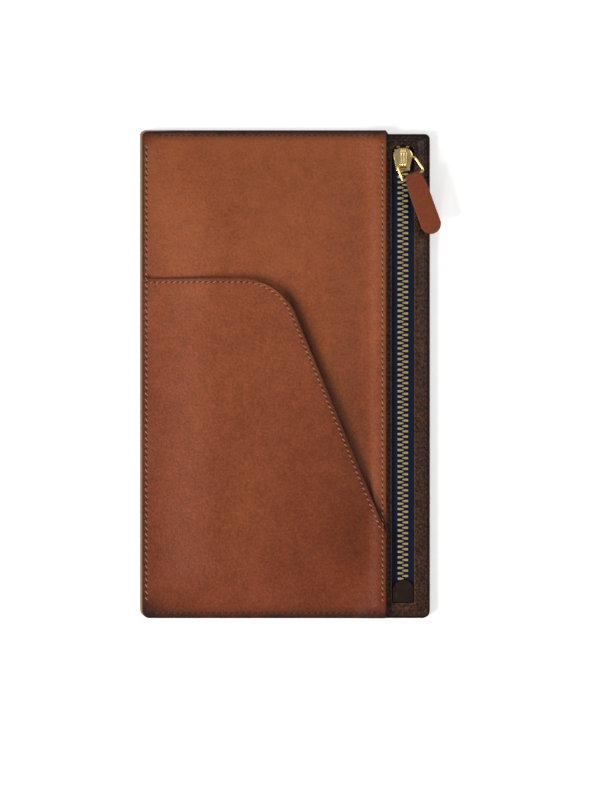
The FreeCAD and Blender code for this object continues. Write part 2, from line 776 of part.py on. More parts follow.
def make_slider_crown():
    """Arched crown on the slider's top plate, with the opening that the ring passes through."""
    body = doc.addObject("PartDesign::Body", "slider_crown")
    end = "(Sizes.crown_long / 2)"
    inner = f"({end} - Sizes.crown_foot)"
    brow = f"({end} - Sizes.crown_slope)"
    under = "(Sizes.crown_high - Sizes.crown_bar)"
    bend = "0.6 * Sizes.crown_bar"
    half = [
        (inner, "0"),
        (end, "0"),
        (end, "Sizes.crown_side", "Sizes.crown_bar"),
        (brow, "Sizes.crown_high", "Sizes.crown_round"),
    ]
    other = [(f"-{corner[0]}", *corner[1:]) for corner in half[::-1]]
    roof = [
        (f"-{inner}", "Sizes.crown_side"),
        (f"-{brow} + {bend}", under, bend),
        (f"{brow} - {bend}", under, bend),
        (inner, "Sizes.crown_side"),
    ]
    sketch = body_sketch(body, "crown_profile", "YZ_Plane", "0", half + other + roof)
    add_pad(body, "crown_arch", sketch, "Sizes.crown_wide", midplane=True)
    side = "(Sizes.crown_wide / 2)"
    turned_end = f"0.96 * {side}"
    plan = [(f"-{side}", f"-{end}", turned_end), (side, f"-{end}", turned_end)]
    plan += [(side, end, turned_end), (f"-{side}", end, turned_end)]
    sketch = body_sketch(body, "crown_ends", "XY_Plane", "Sizes.crown_high", around_all(end), plan)
    add_pocket(body, "crown_rounded", sketch, "Sizes.crown_high")
    half_slot = "Sizes.crown_slot_wide / 2"
    high = "-Sizes.crown_slot_place"
    low = "-Sizes.crown_slot_place - Sizes.crown_slot_long"
    slot = [(f"-{half_slot}", low), (half_slot, low), (half_slot, high), (f"-{half_slot}", high)]
    sketch = body_sketch(body, "crown_slot", "XY_Plane", "Sizes.crown_high", slot)
    add_pocket(body, "crown_notch", sketch, "Sizes.crown_bar + Sizes.crown_slot_deep")
    place(body, zip_x, slider_y, slider_high)
    return body


ring_at = [
    f"({zip_x} + Sizes.ring_shift * cos(Sizes.ring_swing * 1deg))",
    f"({slider_y} - Sizes.ring_back + Sizes.ring_shift * sin(Sizes.ring_swing * 1deg))",
    ring_z,
]
bar_at = [
    f"({ring_at[0]} + Sizes.ring_tall * sin(Sizes.ring_swing * 1deg))",
    f"({ring_at[1]} - Sizes.ring_tall * cos(Sizes.ring_swing * 1deg))",
    ring_z,
]


def make_pull_ring():
    """Bent wire ring: a short bar through the crown and a longer one that carries the pull."""
    body = doc.addObject("PartDesign::Body", "pull_ring")
    top = "(Sizes.ring_top / 2)"
    foot = "(Sizes.ring_bar / 2)"
    low = "-Sizes.ring_tall"
    path = [
        (f"-{top}", "0", "Sizes.ring_round"),
        (f"-{foot}", low, "Sizes.ring_foot_round"),
        (foot, low, "Sizes.ring_foot_round"),
        (top, "0", "Sizes.ring_round"),
    ]
    spine = body_sketch(body, "ring_path", "XY_Plane", "0", path)
    wire = body_sketch(body, "ring_section", "YZ_Plane", "0")
    round_wire = Part.Circle(FreeCAD.Vector(), FreeCAD.Vector(0, 0, 1), value("Sizes.ring_wire / 2"))
    circle = wire.addGeometry(round_wire, False)
    wire.addConstraint(Sketcher.Constraint("Coincident", circle, 3, -1, 1))
    bound = wire.addConstraint(Sketcher.Constraint("Radius", circle, value("Sizes.ring_wire / 2")))
    wire.setExpression(f"Constraints[{bound}]", "Sizes.ring_wire / 2")
    doc.recompute()
    pipe = body.newObject("PartDesign::AdditivePipe", "ring_bent")
    pipe.Profile = wire
    pipe.Spine = spine
    doc.recompute()
    place(body, *ring_at, "Sizes.ring_swing")
    return body


def make_pull():
    """Leather pull: a strap folded over the ring's bar and closed on itself below it."""
    body = doc.addObject("PartDesign::Body", "pull_tab")
    fold = "Sizes.pull_above_bar"
    end = "(Sizes.pull_above_bar - Sizes.pull_long)"
    loop = "(Sizes.ring_wire / 2 + Sizes.pull_loop_room / 2 + Sizes.pull_leather)"
    neck = "-Sizes.pull_eye_flat"
    closed = "(-Sizes.pull_neck_long - Sizes.pull_eye_flat)"
    bend = "Sizes.pull_leather * 1.9"
    half = [
        (end, "Sizes.pull_leather", "Sizes.pull_leather * 0.5"),
        (closed, "Sizes.pull_leather", "4"),
        (neck, loop, "1.5"),
        (fold, loop, bend),
    ]
    side = half + [(x, f"-{z}", radius) for x, z, radius in half[::-1]]
    room = f"({loop} - Sizes.pull_leather)"
    eye = [
        ("-Sizes.pull_eye_tip", "0"),
        (neck, room),
        (f"{fold} - Sizes.pull_leather", room, "0.6"),
        (f"{fold} - Sizes.pull_leather", f"-{room}", "0.6"),
        (neck, f"-{room}"),
    ]
    sketch = body_sketch(body, "pull_side", "YZ_Plane", "0", side, eye)
    add_pad(body, "pull_strap", sketch, "Sizes.pull_wide * 1.2", midplane=True)
    narrow = "(Sizes.pull_fold_wide / 2)"
    wide = "(Sizes.pull_wide / 2)"
    full = f"({fold} - Sizes.pull_widening)"
    past = f"({fold} + 0.3)"
    right = [(wide, end, "Sizes.pull_end_round"), (wide, full, "5"), (narrow, past)]
    plan = right + [(f"-{corner[0]}", *corner[1:]) for corner in right[::-1]]
    sketch = body_sketch(body, "pull_outline", "XY_Plane", loop, around_all("Sizes.pull_long"), plan)
    add_pocket(body, "pull_trimmed", sketch, f"2 * {loop}")
    place(body, *bar_at, "Sizes.pull_swing")
    return body


def surface(seam, zip_seam, bag_rise):
    """The height of one front surface at any place, matching bulge()."""
    corners = (bag_foot, bag_flat, zip_foot, zip_flat)
    bag_low, bag_high, zip_low, zip_high = ([value(edge) for edge in box] for box in corners)
    low, lapped, rise = (value(formula) for formula in (seam, zip_seam, bag_rise))
    zip_rise = size("zip_rise")
    lap_start = value(lap_foot)
    lap_run = size("lap_ramp")

    def share(x, y, foot, flat):
        runs = zip((x, x, y, y), foot, flat)
        return max(0, min(1, *((at - out) / (full - out) for at, out, full in runs)))

    def height(x, y):
        bag = low + rise * share(x, y, bag_low, bag_high)
        step = low + (lapped - low) * min(max((x - lap_start) / lap_run, 0), 1)
        over_zip = lapped + zip_rise * share(x, y, zip_low, zip_high)
        return max(bag, step, over_zip if x > zip_low[0] else low)

    return height


def walk(route, distance):
    """The place a distance along a route of points."""
    for start, end in zip(route, route[1:]):
        run = (end - start).Length
        if distance <= run:
            return start + (end - start) * (distance / run)
        distance -= run
    return route[-1]


def make_row(label, route, pitch, height, gaps=()):
    """One row of stitches resting on the leather. It leaves out those that would cross a gap."""
    thread = size("thread") / 2
    long = size("stitch_long")
    slant = size("stitch_slant")
    total = sum((end - start).Length for start, end in zip(route, route[1:]))
    count = int((total - long) / pitch) + 1
    start_gap = (total - long - (count - 1) * pitch) / 2
    solids = []
    for number in range(count):
        at = start_gap + number * pitch
        start = walk(route, at)
        end = walk(route, at + long)
        along = (end - start).normalize()
        across = FreeCAD.Vector(-along.y, along.x, 0) * slant
        start = start - across
        end = end + across
        tops = []
        for share in (0, 0.25, 0.5, 0.75, 1):
            point = start + (end - start) * share
            tops.append(height(point.x, point.y))
        if any(low - long < getattr(start, axis) < high + long for axis, low, high in gaps):
            continue
        steep = abs(tops[4] - tops[0]) / long
        lift = thread * math.sqrt(1 + steep * steep) + 0.03
        ridge = max(top - tops[0] - (tops[4] - tops[0]) * n / 4 for n, top in enumerate(tops))
        start.z = tops[0] + ridge + lift
        end.z = tops[4] + ridge + lift
        rod = Part.makeCylinder(thread, (end - start).Length, start, end - start)
        solids.append(rod)
    return group(label, solids)


def points(*places):
    """Formulas or numbers as points in the plan."""
    found = []
    for x, y in places:
        numbers = [value(n) if isinstance(n, str) else n for n in (x, y)]
        found.append(FreeCAD.Vector(*numbers, 0))
    return found


def bend_at(corner, radius, before, after, steps=16):
    """Points round a rounded corner between two directions of travel."""
    turn = before.getAngle(after) * (1 if before.cross(after).z > 0 else -1)
    run = radius * math.tan(abs(turn) / 2)
    start = corner - before * run
    side = FreeCAD.Vector(-before.y, before.x, 0) * (1 if turn > 0 else -1)
    middle = start + side * radius
    spoke = start - middle
    found = []
    for n in range(steps + 1):
        part_turn = FreeCAD.Rotation(FreeCAD.Vector(0, 0, 1), math.degrees(turn) * n / steps)
        found.append(middle + part_turn.multVec(spoke))
    return found


def make_stitches():
    """Every row of thread on the case."""
    on_panel = surface(panel_high, lap_high, "Sizes.bag_rise")
    on_strip = surface(strip_high, strip_high, "Sizes.zip_rise")
    on_pocket = surface(pocket_high, pocket_lap_high, "(Sizes.bag_rise + Sizes.pocket_gap)")
    mouth = value(mouth_y)
    start = FreeCAD.Vector(value(mouth_x), mouth, 0)
    end = FreeCAD.Vector(value(panel_right), value(slant_y), 0)
    down = (end - start).normalize()
    level = FreeCAD.Vector(1, 0, 0)

    def in_pocket(x, y):
        below = down.cross(FreeCAD.Vector(x, y, 0) - start).z < 0
        return y < mouth and below

    def on_front(x, y):
        return on_pocket(x, y) if in_pocket(x, y) else on_panel(x, y)

    rows = []
    pitch = size("stitch_pitch")
    edge_pitch = size("edge_pitch")
    left = f"{panel_left} + Sizes.edge_row"
    seam = f"{panel_right} - Sizes.panel_row"
    low = f"{case_bottom} + Sizes.bottom_row"
    slant_at_seam = end.y - size("panel_row") * down.y / down.x
    step = size("thread")
    edge_gap = [("y", mouth - step, mouth + step)]
    seam_gap = [("y", slant_at_seam - 2 * step, slant_at_seam + 2 * step)]
    top = f"{panel_top} - Sizes.top_row"
    strip_high_row = f"{strip_top} - Sizes.strip_top_row"
    row_left = f"{case_left} + Sizes.corner_fold + Sizes.edge_row"
    row_bottom = f"{case_bottom} + Sizes.corner_fold + Sizes.edge_row"
    row_top = f"{panel_top} - Sizes.corner_fold"
    zip_row = f"{case_right} - Sizes.zip_edge_row"
    route = points((left, row_bottom), (left, row_top))
    rows.append(make_row("stitches_closed_side", route, edge_pitch, on_front, edge_gap))
    route = points((row_left, top), (f"{seam} - Sizes.thread", top))
    rows.append(make_row("stitches_top", route, pitch, on_panel))
    route = points((row_left, low), (f"{seam} - Sizes.thread", low))
    rows.append(make_row("stitches_bottom", route, pitch, on_pocket))
    route = points((seam, row_bottom), (seam, row_top))
    rows.append(make_row("stitches_panel_side", route, pitch, on_front, seam_gap))
    corner = points((zip_row, strip_high_row))[0]
    up = FreeCAD.Vector(0, 1, 0)
    first = f"{panel_right} + Sizes.strip_row + Sizes.thread"
    foot = points((zip_row, low))[0]
    rim = points((first, low))
    rim += bend_at(foot, size("zip_row_round"), level, up)
    rim += bend_at(corner, size("zip_row_round"), up, -level)
    rim += points((first, strip_high_row))
    rows.append(make_row("stitches_zip_side", rim, pitch, on_strip))
    near = f"{panel_right} + Sizes.strip_row"
    far = f"{zip_x} + {window_half} + Sizes.window_row"
    arch_top = f"{window_top} + Sizes.window_row"
    arch_foot = f"{window_bottom} + Sizes.window_row"
    arch = size("window_round") + size("window_row")
    for name, x in (("stitches_window_left", near), ("stitches_window_right", far)):
        route = points((x, arch_foot), (x, f"{window_top} - {arch}"))
        rows.append(make_row(name, route, pitch, on_strip))
    corners = points((near, arch_top), (far, arch_top))
    round_top = bend_at(corners[0], arch, up, level) + bend_at(corners[1], arch, level, -up)
    rows.append(make_row("stitches_window_top", round_top, pitch, on_strip))
    inset = size("mouth_row")
    inward = FreeCAD.Vector(down.y, -down.x, 0)
    square = FreeCAD.Vector(0, -1, 0)
    corner = start + (square + inward) * (inset / (1 + square.dot(inward)))
    to_seam = (value(seam) - 2 * step - corner.x) / down.x
    route = points((f"{left} + Sizes.thread", corner.y))
    route += bend_at(corner, size("mouth_round") - inset, level, down)
    route.append(corner + down * to_seam)
    rows.append(make_row("stitches_mouth", route, pitch, on_pocket))
    return rows


def make_pull_stitch():
    """A short bar of thread that closes the pull's fold under the ring, front and back."""
    long = size("bar_stitch_long")
    thread = size("thread") / 2
    drop = size("bar_stitch_drop")
    room = size("ring_wire") / 2 + size("pull_loop_room") / 2 + size("pull_leather")
    closed = size("pull_neck_long")
    over = drop - size("pull_eye_flat")
    skin = room - (room - size("pull_leather")) * over / closed
    lift = skin + thread + 0.05
    solids = []
    for face in (-1, 1):
        for number in range(3):
            across = (number - 1.5) * (long + thread)
            start = FreeCAD.Vector(across, -drop, face * lift)
            solids.append(Part.makeCylinder(thread, long, start, FreeCAD.Vector(1, 0, 0)))
    piece = group("pull_stitch", solids)
    spin = FreeCAD.Rotation(FreeCAD.Vector(0, 0, 1), size("pull_swing"))
    where = FreeCAD.Vector(*(value(formula) for formula in bar_at))
    piece.Placement = FreeCAD.Placement(where, spin)
    return piece


pieces = [make_back_panel(), make_back_board()]
pieces += make_front_sheets()
pieces += make_teeth()
pieces += make_top_stops()
pieces += [make_foot_stop(), make_foot_cap()]
pieces += [make_slider_body(), make_slider_crown(), make_pull_ring(), make_pull()]
pieces += make_stitches()
pieces.append(make_pull_stitch())
doc.recompute()

for item in doc.Objects:
    if any(word in item.State for word in ("Invalid", "Error")):
        raise ValueError(f"{item.Label} did not build: {item.State}")
for piece in pieces:
    if piece.Shape.isNull() or not piece.Shape.isValid() or not piece.Shape.Solids:
        raise ValueError(f"{piece.Label} is not a valid solid")

os.makedirs("parts", exist_ok=True)
for piece in pieces:
    piece.Shape.exportStep(f"parts/{piece.Label}.step")
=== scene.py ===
import math

import bpy
import numpy as np
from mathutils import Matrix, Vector
from mathutils.geometry import delaunay_2d_cdt


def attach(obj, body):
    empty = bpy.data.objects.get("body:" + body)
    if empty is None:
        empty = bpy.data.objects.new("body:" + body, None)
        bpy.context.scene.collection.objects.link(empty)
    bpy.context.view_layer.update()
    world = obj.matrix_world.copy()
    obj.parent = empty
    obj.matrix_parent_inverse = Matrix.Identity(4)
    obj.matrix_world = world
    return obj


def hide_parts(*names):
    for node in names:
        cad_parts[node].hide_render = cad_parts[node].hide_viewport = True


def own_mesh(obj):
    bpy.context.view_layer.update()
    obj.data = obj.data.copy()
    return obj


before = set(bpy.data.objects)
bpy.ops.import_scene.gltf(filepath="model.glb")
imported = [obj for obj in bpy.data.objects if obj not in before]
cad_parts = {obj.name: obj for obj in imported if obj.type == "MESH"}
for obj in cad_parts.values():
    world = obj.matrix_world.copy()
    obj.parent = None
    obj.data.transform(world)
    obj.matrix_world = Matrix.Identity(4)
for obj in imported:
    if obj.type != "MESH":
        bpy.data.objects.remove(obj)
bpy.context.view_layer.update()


# Back panel: one sheet of vegetable-tanned cowhide, cut to the full outline of the case.
# Its rim is pale on the left, where it stands out past the front panel: raw trimmed edge with a
# painted highlight on the lit side. The zip side's top edge steps down a little. Every other layer is sewn
# onto it.

MM = 0.001
CASE_LEFT, CASE_RIGHT, CASE_FOOT, CASE_TOP = -65.4, 65.4, -110.0, 110.0
STEP_X, STEP_TOP = 46.0, 108.2
BACK_THICK = 1.2


def dye(code, strength=1.0):
    """A colour from its sRGB hex code, as the linear numbers that a shader takes."""
    channels = [int(code[n : n + 2], 16) / 255 for n in (1, 3, 5)]
    linear = [c / 12.92 if c <= 0.04045 else ((c + 0.055) / 1.055) ** 2.4 for c in channels]
    return (*[c * strength for c in linear], 1.0)


def wire(tree, kind, sockets=None, **settings):
    """One new node with its settings made and its sockets filled, from numbers or other nodes."""
    node = tree.nodes.new(kind)
    for word, choice in settings.items():
        setattr(node, word, choice)
    for key, value in (sockets or {}).items():
        if isinstance(value, bpy.types.NodeSocket):
            tree.links.new(value, node.inputs[key])
        else:
            node.inputs[key].default_value = value
    return node


def out(tree, kind, sockets=None, **settings):
    """The first output of one new node."""
    return wire(tree, kind, sockets, **settings).outputs[0]


def sums(tree, operation, a, b=0.0):
    """The result of one sum on numbers or node outputs."""
    return out(tree, "ShaderNodeMath", {0: a, 1: b}, operation=operation)


def blended(tree, share, a, b, how="MIX"):
    """Colour b laid over colour a by a share."""
    sockets = {0: share, 6: a, 7: b}
    return wire(tree, "ShaderNodeMix", sockets, data_type="RGBA", blend_type=how).outputs[2]


def stretched(tree, value, low, high, to_low=0.0, to_high=1.0):
    """A number moved from one range to another, and held inside it."""
    sockets = {0: value, 1: low, 2: high, 3: to_low, 4: to_high}
    return out(tree, "ShaderNodeMapRange", sockets)


def new_finish(name):
    """An empty material, its tree, its surface shader and the coordinates that stay with a piece."""
    finish = bpy.data.materials.new(name)
    finish.use_nodes = True
    tree = finish.node_tree
    coords = wire(tree, "ShaderNodeTexCoord").outputs["Object"]
    return finish, tree, tree.nodes["Principled BSDF"], coords


def fix(shader, sockets):
    """Sets the surface shader's constant sockets."""
    for socket, value in sockets.items():
        shader.inputs[socket].default_value = value


def coat(tree, shader, colour, height, strength, depth_mm):
    """Gives the surface shader its colour, and a relief this deep."""
    tree.links.new(colour, shader.inputs["Base Color"])
    sockets = {"Strength": strength, "Distance": depth_mm * MM, "Height": height}
    tree.links.new(out(tree, "ShaderNodeBump", sockets), shader.inputs["Normal"])


def spots(tree, coords, size_mm, detail=2.0, rough=0.5):
    """Noise whose blotches are about this many millimetres across."""
    sockets = {"Vector": coords, "Scale": 1000 / size_mm, "Detail": detail, "Roughness": rough}
    return out(tree, "ShaderNodeTexNoise", sockets)


def tanned(
    name, face, deep, burnt, paint, pebble=0.75, mottle=0.16, gloss=0.46, relief=0.24, freckle=0.12
):
    """Aniline leather: a see-through dye over a pebbled grain, burnished dark along its edges.

    The marks tone, burnish and paint on the mesh say how dark the dye reads, where the
    edges were burnished with heat, and where the cut edge was painted or left raw. Tone and
    burnish also carry painted shade and painted shadow on the front panel, burnish carries a
    painted shadow line on the strip, and paint carries a painted highlight on the back panel's rim.
    """
    finish, tree, shader, coords = new_finish(name)
    marks = {}
    for mark in ("tone", "burnish", "paint"):
        marks[mark] = wire(tree, "ShaderNodeAttribute", attribute_name=mark).outputs["Fac"]
    cloudy = spots(tree, coords, 26, 3)
    patchy = spots(tree, coords, 5.5, 4, 0.6)
    speckle = spots(tree, coords, 1.05, 3, 0.65)
    # tone brings painted shade on the front panel along with the dye's own depth.
    tone_and_shade = sums(tree, "ADD", marks["tone"], stretched(tree, cloudy, 0.3, 0.7, -0.14, 0.14))
    tone_and_shade = sums(tree, "ADD", tone_and_shade, stretched(tree, speckle, 0.35, 0.65, freckle, -freckle))
    tone_and_shade = out(tree, "ShaderNodeClamp", {0: tone_and_shade})
    colour = blended(tree, tone_and_shade, dye(face), dye(deep))
    shade = stretched(tree, patchy, 0.25, 0.75, 1 - mottle, 1 + mottle)
    shade = sums(tree, "MULTIPLY", shade, stretched(tree, speckle, 0.3, 0.7, 1 - mottle, 1 + mottle))
    grey = out(tree, "ShaderNodeCombineColor", {0: shade, 1: shade, 2: shade})
    colour = blended(tree, 1.0, colour, grey, "MULTIPLY")
    uneven = stretched(tree, patchy, 0.3, 0.7, 0.75, 1.2)
    sockets = {0: marks["burnish"], 1: uneven}
    # burnish brings painted shadow on the front panel and the strip along with the burnished edges.
    burn_and_shadow = out(tree, "ShaderNodeMath", sockets, operation="MULTIPLY", use_clamp=True)
    colour = blended(tree, burn_and_shadow, colour, dye(burnt))
    colour = blended(tree, marks["paint"], colour, dye(paint))
    sockets = {"Vector": coords, "Scale": 1000 / pebble}
    cells = wire(tree, "ShaderNodeTexVoronoi", sockets, feature="SMOOTH_F1")
    creases = spots(tree, coords, 1.7, 5, 0.7)
    height = sums(tree, "ADD", cells.outputs["Distance"], sums(tree, "MULTIPLY", creases, 1.3))
    coat(tree, shader, colour, height, 0.55, relief)
    polish = stretched(tree, patchy, 0.2, 0.8, gloss - 0.06, gloss + 0.08)
    tree.links.new(polish, shader.inputs["Roughness"])
    fix(shader, {"Specular IOR Level": 0.22})
    return finish


def die_line(corners, step=1.2):
    """Points along a cutting die's closed line, from its corners (x, y, rounding), in mm."""
    bends = []
    for number, (x, y, radius) in enumerate(corners):
        here = np.array((x, y))
        back = np.array(corners[number - 1][:2]) - here
        on = np.array(corners[(number + 1) % len(corners)][:2]) - here
        back = back / np.linalg.norm(back)
        on = on / np.linalg.norm(on)
        if not radius:
            bends.append(here)
            continue
        half = math.acos(np.clip(back @ on, -1, 1)) / 2
        middle = here + (back + on) / np.linalg.norm(back + on) * radius / math.sin(half)
        first = here + back * radius / math.tan(half) - middle
        turn = math.copysign(math.pi - 2 * half, back[1] * on[0] - back[0] * on[1])
        steps = max(3, math.ceil(abs(turn) * radius / 0.6), math.ceil(abs(turn) / 0.3))
        for share in np.linspace(0, turn, steps + 1):
            c, s = math.cos(share), math.sin(share)
            bends.append(middle + (c * first[0] - s * first[1], s * first[0] + c * first[1]))
    line = []
    for number, here in enumerate(bends):
        gap = bends[(number + 1) % len(bends)] - here
        count = max(1, math.ceil(np.linalg.norm(gap) / step))
        line += [here + gap * n / count for n in range(count)]
    return np.array(line)


def side_normals(line, closed=True):
    """The direction to the left of a line at each of its points."""
    on = np.roll(line, -1, 0) - line
    back = line - np.roll(line, 1, 0)
    if not closed:
        on[-1] = back[-1]
        back[0] = on[0]
    along = on / np.linalg.norm(on, axis=1)[:, None] + back / np.linalg.norm(back, axis=1)[:, None]
    along = along / np.linalg.norm(along, axis=1)[:, None]
    return np.column_stack((-along[:, 1], along[:, 0]))


def distance_to(points, lines, closed=True):
    """How far each point is from the nearest of some lines."""
    nearest = np.full(len(points), 1e3)
    for line in lines:
        ends = np.roll(line, -1, 0) if closed else line[1:]
        starts = line if closed else line[:-1]
        run = ends - starts
        size = (run**2).sum(1)
        for at in range(0, len(points), 3000):
            some = points[at : at + 3000, None, :] - starts
            share = np.clip((some * run).sum(2) / size, 0, 1)
            gap = np.sqrt(((some - share[:, :, None] * run) ** 2).sum(2)).min(1)
            nearest[at : at + 3000] = np.minimum(nearest[at : at + 3000], gap)
    return nearest


def within(points, lines):
    """Whether each point is inside an outline and outside its holes."""
    inside = np.zeros(len(points), bool)
    for line in lines:
        x0, y0 = line[:, 0], line[:, 1]
        x1, y1 = np.roll(x0, -1), np.roll(y0, -1)
        for at in range(0, len(points), 3000):
            x = points[at : at + 3000, 0, None]
            y = points[at : at + 3000, 1, None]
            spans = (y0 > y) != (y1 > y)
            slope = np.where(y1 == y0, 1, y1 - y0)
            crossed = spans & (x < (x1 - x0) * (y - y0) / slope + x0)
            inside[at : at + 3000] ^= crossed.sum(1) % 2 == 1
    return inside


def in_scene(name, data):
    """A new object in the scene, at the origin."""
    piece = bpy.data.objects.new(name, data)
    bpy.context.scene.collection.objects.link(piece)
    return piece


def new_mesh(name, places, faces, *finishes):
    """A mesh piece with its place in its own points, given in millimetres."""
    mesh = bpy.data.meshes.new(name)
    mesh.from_pydata([tuple(p) for p in np.asarray(places) * MM], [], faces)
    for finish in finishes:
        mesh.materials.append(finish)
    mesh.shade_smooth()
    return in_scene(name, mesh)


def seat(piece, node, body="case"):
    """Puts a piece in place of its CAD node, on the body that it rides."""
    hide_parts(node)
    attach(piece, body)


def store_marks(piece, marks):
    """Stores the colour marks on a mesh's points, painted shade among them, where its leather reads them.
    """
    for mark in ("tone", "burnish", "paint"):
        layer = piece.data.attributes.new(mark, "FLOAT", "POINT")
        values = np.broadcast_to(marks.get(mark, 0.0), len(piece.data.vertices))
        layer.data.foreach_set("value", values.astype("f"))


def cut_sheet(name, finish, lines, low, thick, soft=0.45, rows=(), grid=2.4, marks=None, press=0.2):
    """A sheet cut along die lines (outline first, holes turning the other way) and laid on its bed.

    low gives the bed's height at x and y. The edges are softened, and rows of stitching
    press a shallow furrow into the top. marks gives the colour marks at x, y and edge distance,
    painted shade, shadow and highlight among them.
    """
    edges = []
    count = 0
    for line in lines:
        edges += [(count + n, count + (n + 1) % len(line)) for n in range(len(line))]
        count += len(line)
    inner = []
    for depth in (0.3 * soft, 0.65 * soft, soft, 2 * soft, 3.6 * soft):
        for line in lines:
            ring = line + side_normals(line) * depth
            inner.append(ring[distance_to(ring, lines) > depth * 0.96])
    for row in rows:
        for shift in (-0.85, -0.4, 0, 0.4, 0.85):
            beside = row + side_normals(row, False) * shift
            keep = within(beside, lines) & (distance_to(beside, lines) > 0.8)
            inner.append(beside[keep])
    low_x, low_y = lines[0].min(0)
    high_x, high_y = lines[0].max(0)
    across = np.arange(low_x + grid / 2, high_x, grid)
    up = np.arange(low_y + grid / 2, high_y, grid)
    field = np.array([(x + (n % 2) * grid / 2, y) for n, y in enumerate(up) for x in across])
    keep = within(field, lines) & (distance_to(field, lines) > 3.6 * soft + grid * 0.4)
    if rows:
        keep &= distance_to(field, rows, False) > 0.85 + grid * 0.3
    points = np.vstack([*lines, *inner, field[keep]])
    flat, _, faces, _, _, _ = delaunay_2d_cdt([Vector(p) for p in points], edges, [], 0, 1e-4, False)
    flat = np.array([tuple(p) for p in flat])
    faces = np.array([tuple(f) for f in faces])
    faces = faces[within(flat[faces].mean(1), lines)]
    away = distance_to(flat, lines)
    x, y = flat[:, 0], flat[:, 1]
    bed = low(x, y)
    lost = soft * (1 - np.sqrt(1 - np.clip(1 - away / soft, 0, 1) ** 2)) * 0.9
    height = thick(x, y, away) if callable(thick) else thick
    top = bed + height - np.minimum(lost, height * 0.45)
    if rows:
        top -= press * np.exp(-((distance_to(flat, rows, False) / 0.75) ** 2))
    under = bed + np.minimum(lost, height * 0.45)
    size = len(flat)
    used = {}
    for a, b, c in faces:
        for pair in ((a, b), (b, c), (c, a)):
            used[pair] = True
    walls = [(a, a + size, b + size, b) for a, b in used if (b, a) not in used]
    skin = [tuple(f) for f in faces] + [tuple(f + size)[::-1] for f in faces] + walls
    places = np.vstack((np.column_stack((x, y, top)), np.column_stack((x, y, under))))
    piece = new_mesh(name, places, skin, finish)
    given = marks(x, y, away) if marks else {}
    sides = {}
    for mark in [word for word in given if not word.endswith("_below")]:
        pair = (given[mark], given.get(mark + "_below", given[mark]))
        sides[mark] = np.concatenate([np.broadcast_to(side, x.shape) for side in pair])
    store_marks(piece, sides)
    piece.data.validate()
    return piece


def swell(x, low, high):
    """A soft rise from 0 at low to 1 at high."""
    share = np.clip((x - low) / (high - low), 0, 1)
    return share * share * (3 - 2 * share)


def near(gap, reach):
    """A mark that is full at a line and fades over this reach."""
    return np.exp(-((np.maximum(gap, 0) / reach) ** 2))


def case_line(inset=0.0):
    """The outline of the sewn layers, drawn in from the rim."""
    left, right, foot = CASE_LEFT + inset, CASE_RIGHT - inset, CASE_FOOT + inset
    corners = [(left, foot, 4.3), (right, foot, 3.4), (right, STEP_TOP - inset, 2.4)]
    corners += [(STEP_X + 0.8, STEP_TOP - inset, 0), (STEP_X - 0.4, CASE_TOP - inset, 0.8)]
    return die_line(corners + [(left, CASE_TOP - inset, 2.4)])


def back_marks(x, y, away):
    """Pale rim on the upper side of the left edge, raw trim with a painted highlight; dyed and worn on the
    outside.
    """
    rim = near(away - 1.0, 0.5)
    return {
        "tone": 0.35 + 0.3 * np.clip((30 - y) / 150, 0, 1),
        # Pale on the left only, the lamp's side: raw trim colour with a painted highlight.
        "paint": rim * swell(-x, 50, 60),
        "paint_below": near(away, 0.3),
        "burnish": rim,
        "burnish_below": near(away, 2.6),
    }


# Bark-tanned hide, dyed but left raw where it was trimmed: matt, even brown with a pale rim that is partly
# a painted highlight.
saddle_back = tanned(
    "vegetable_tanned_back", "#884727", "#64270d", "#1e0d07", "#a27e62", mottle=0.1, gloss=0.56
)
back_panel = cut_sheet(
    "back_panel_leather",
    saddle_back,
    [case_line()],
    lambda x, y: 0 * x,
    BACK_THICK,
    marks=back_marks,
)
seat(back_panel, "back_panel")


# Stiffening board: grey mill board, die-cut and glued to the inside of the back panel.
# It stays covered by the lining, and only gives the case its flatness.


def pulp_board():
    """Pressed grey board with short fibres in it."""
    finish, tree, shader, coords = new_finish("pressed_mill_board")
    fibre = out(tree, "ShaderNodeMapping", {"Vector": coords, "Scale": (0.3, 1, 1)})
    strands = spots(tree, fibre, 0.6, 4, 0.7)
    colour = blended(tree, strands, dye("#8c8578"), dye("#b3ac9c"))
    coat(tree, shader, colour, strands, 0.3, 0.03)
    fix(shader, {"Roughness": 0.85})
    return finish


def oblong(box, foot_round, head_round, step=1.2):
    """The outline of a rectangle (left, right, low, high) with its corners rounded."""
    left, right, low, high = box
    corners = [(left, low, foot_round), (right, low, foot_round)]
    return die_line(corners + [(right, high, head_round), (left, high, head_round)], step)


def box_swell(x, y, foot, flat):
    """A soft-sided mound from its foot's edges to its flat's edges (left, right, low, high)."""
    level = swell(x, foot[0], flat[0]) * swell(-x, -foot[1], -flat[1])
    return level * swell(y, foot[2], flat[2]) * swell(-y, -foot[3], -flat[3])


BOARD = (-57.2, 46.9, -103.0, 101.2)
board = cut_sheet(
    "stiffening_board",
    pulp_board(),
    [oblong(BOARD, 3, 3)],
    lambda x, y: 0 * x + BACK_THICK,
    0.5,
    soft=0.15,
    grid=8,
)
seat(board, "back_board")


# Lining: thin woven cotton-and-viscose cloth, glued to the inner faces of both panels.
# One sheet covers the board and the other hangs inside the front, open behind the zip.


def ridges(tree, along, pitch_mm):
    """A sine wave along one coordinate, with its ridges this many millimetres apart."""
    return sums(tree, "SINE", sums(tree, "MULTIPLY", along, 2 * math.pi / (pitch_mm * MM)))


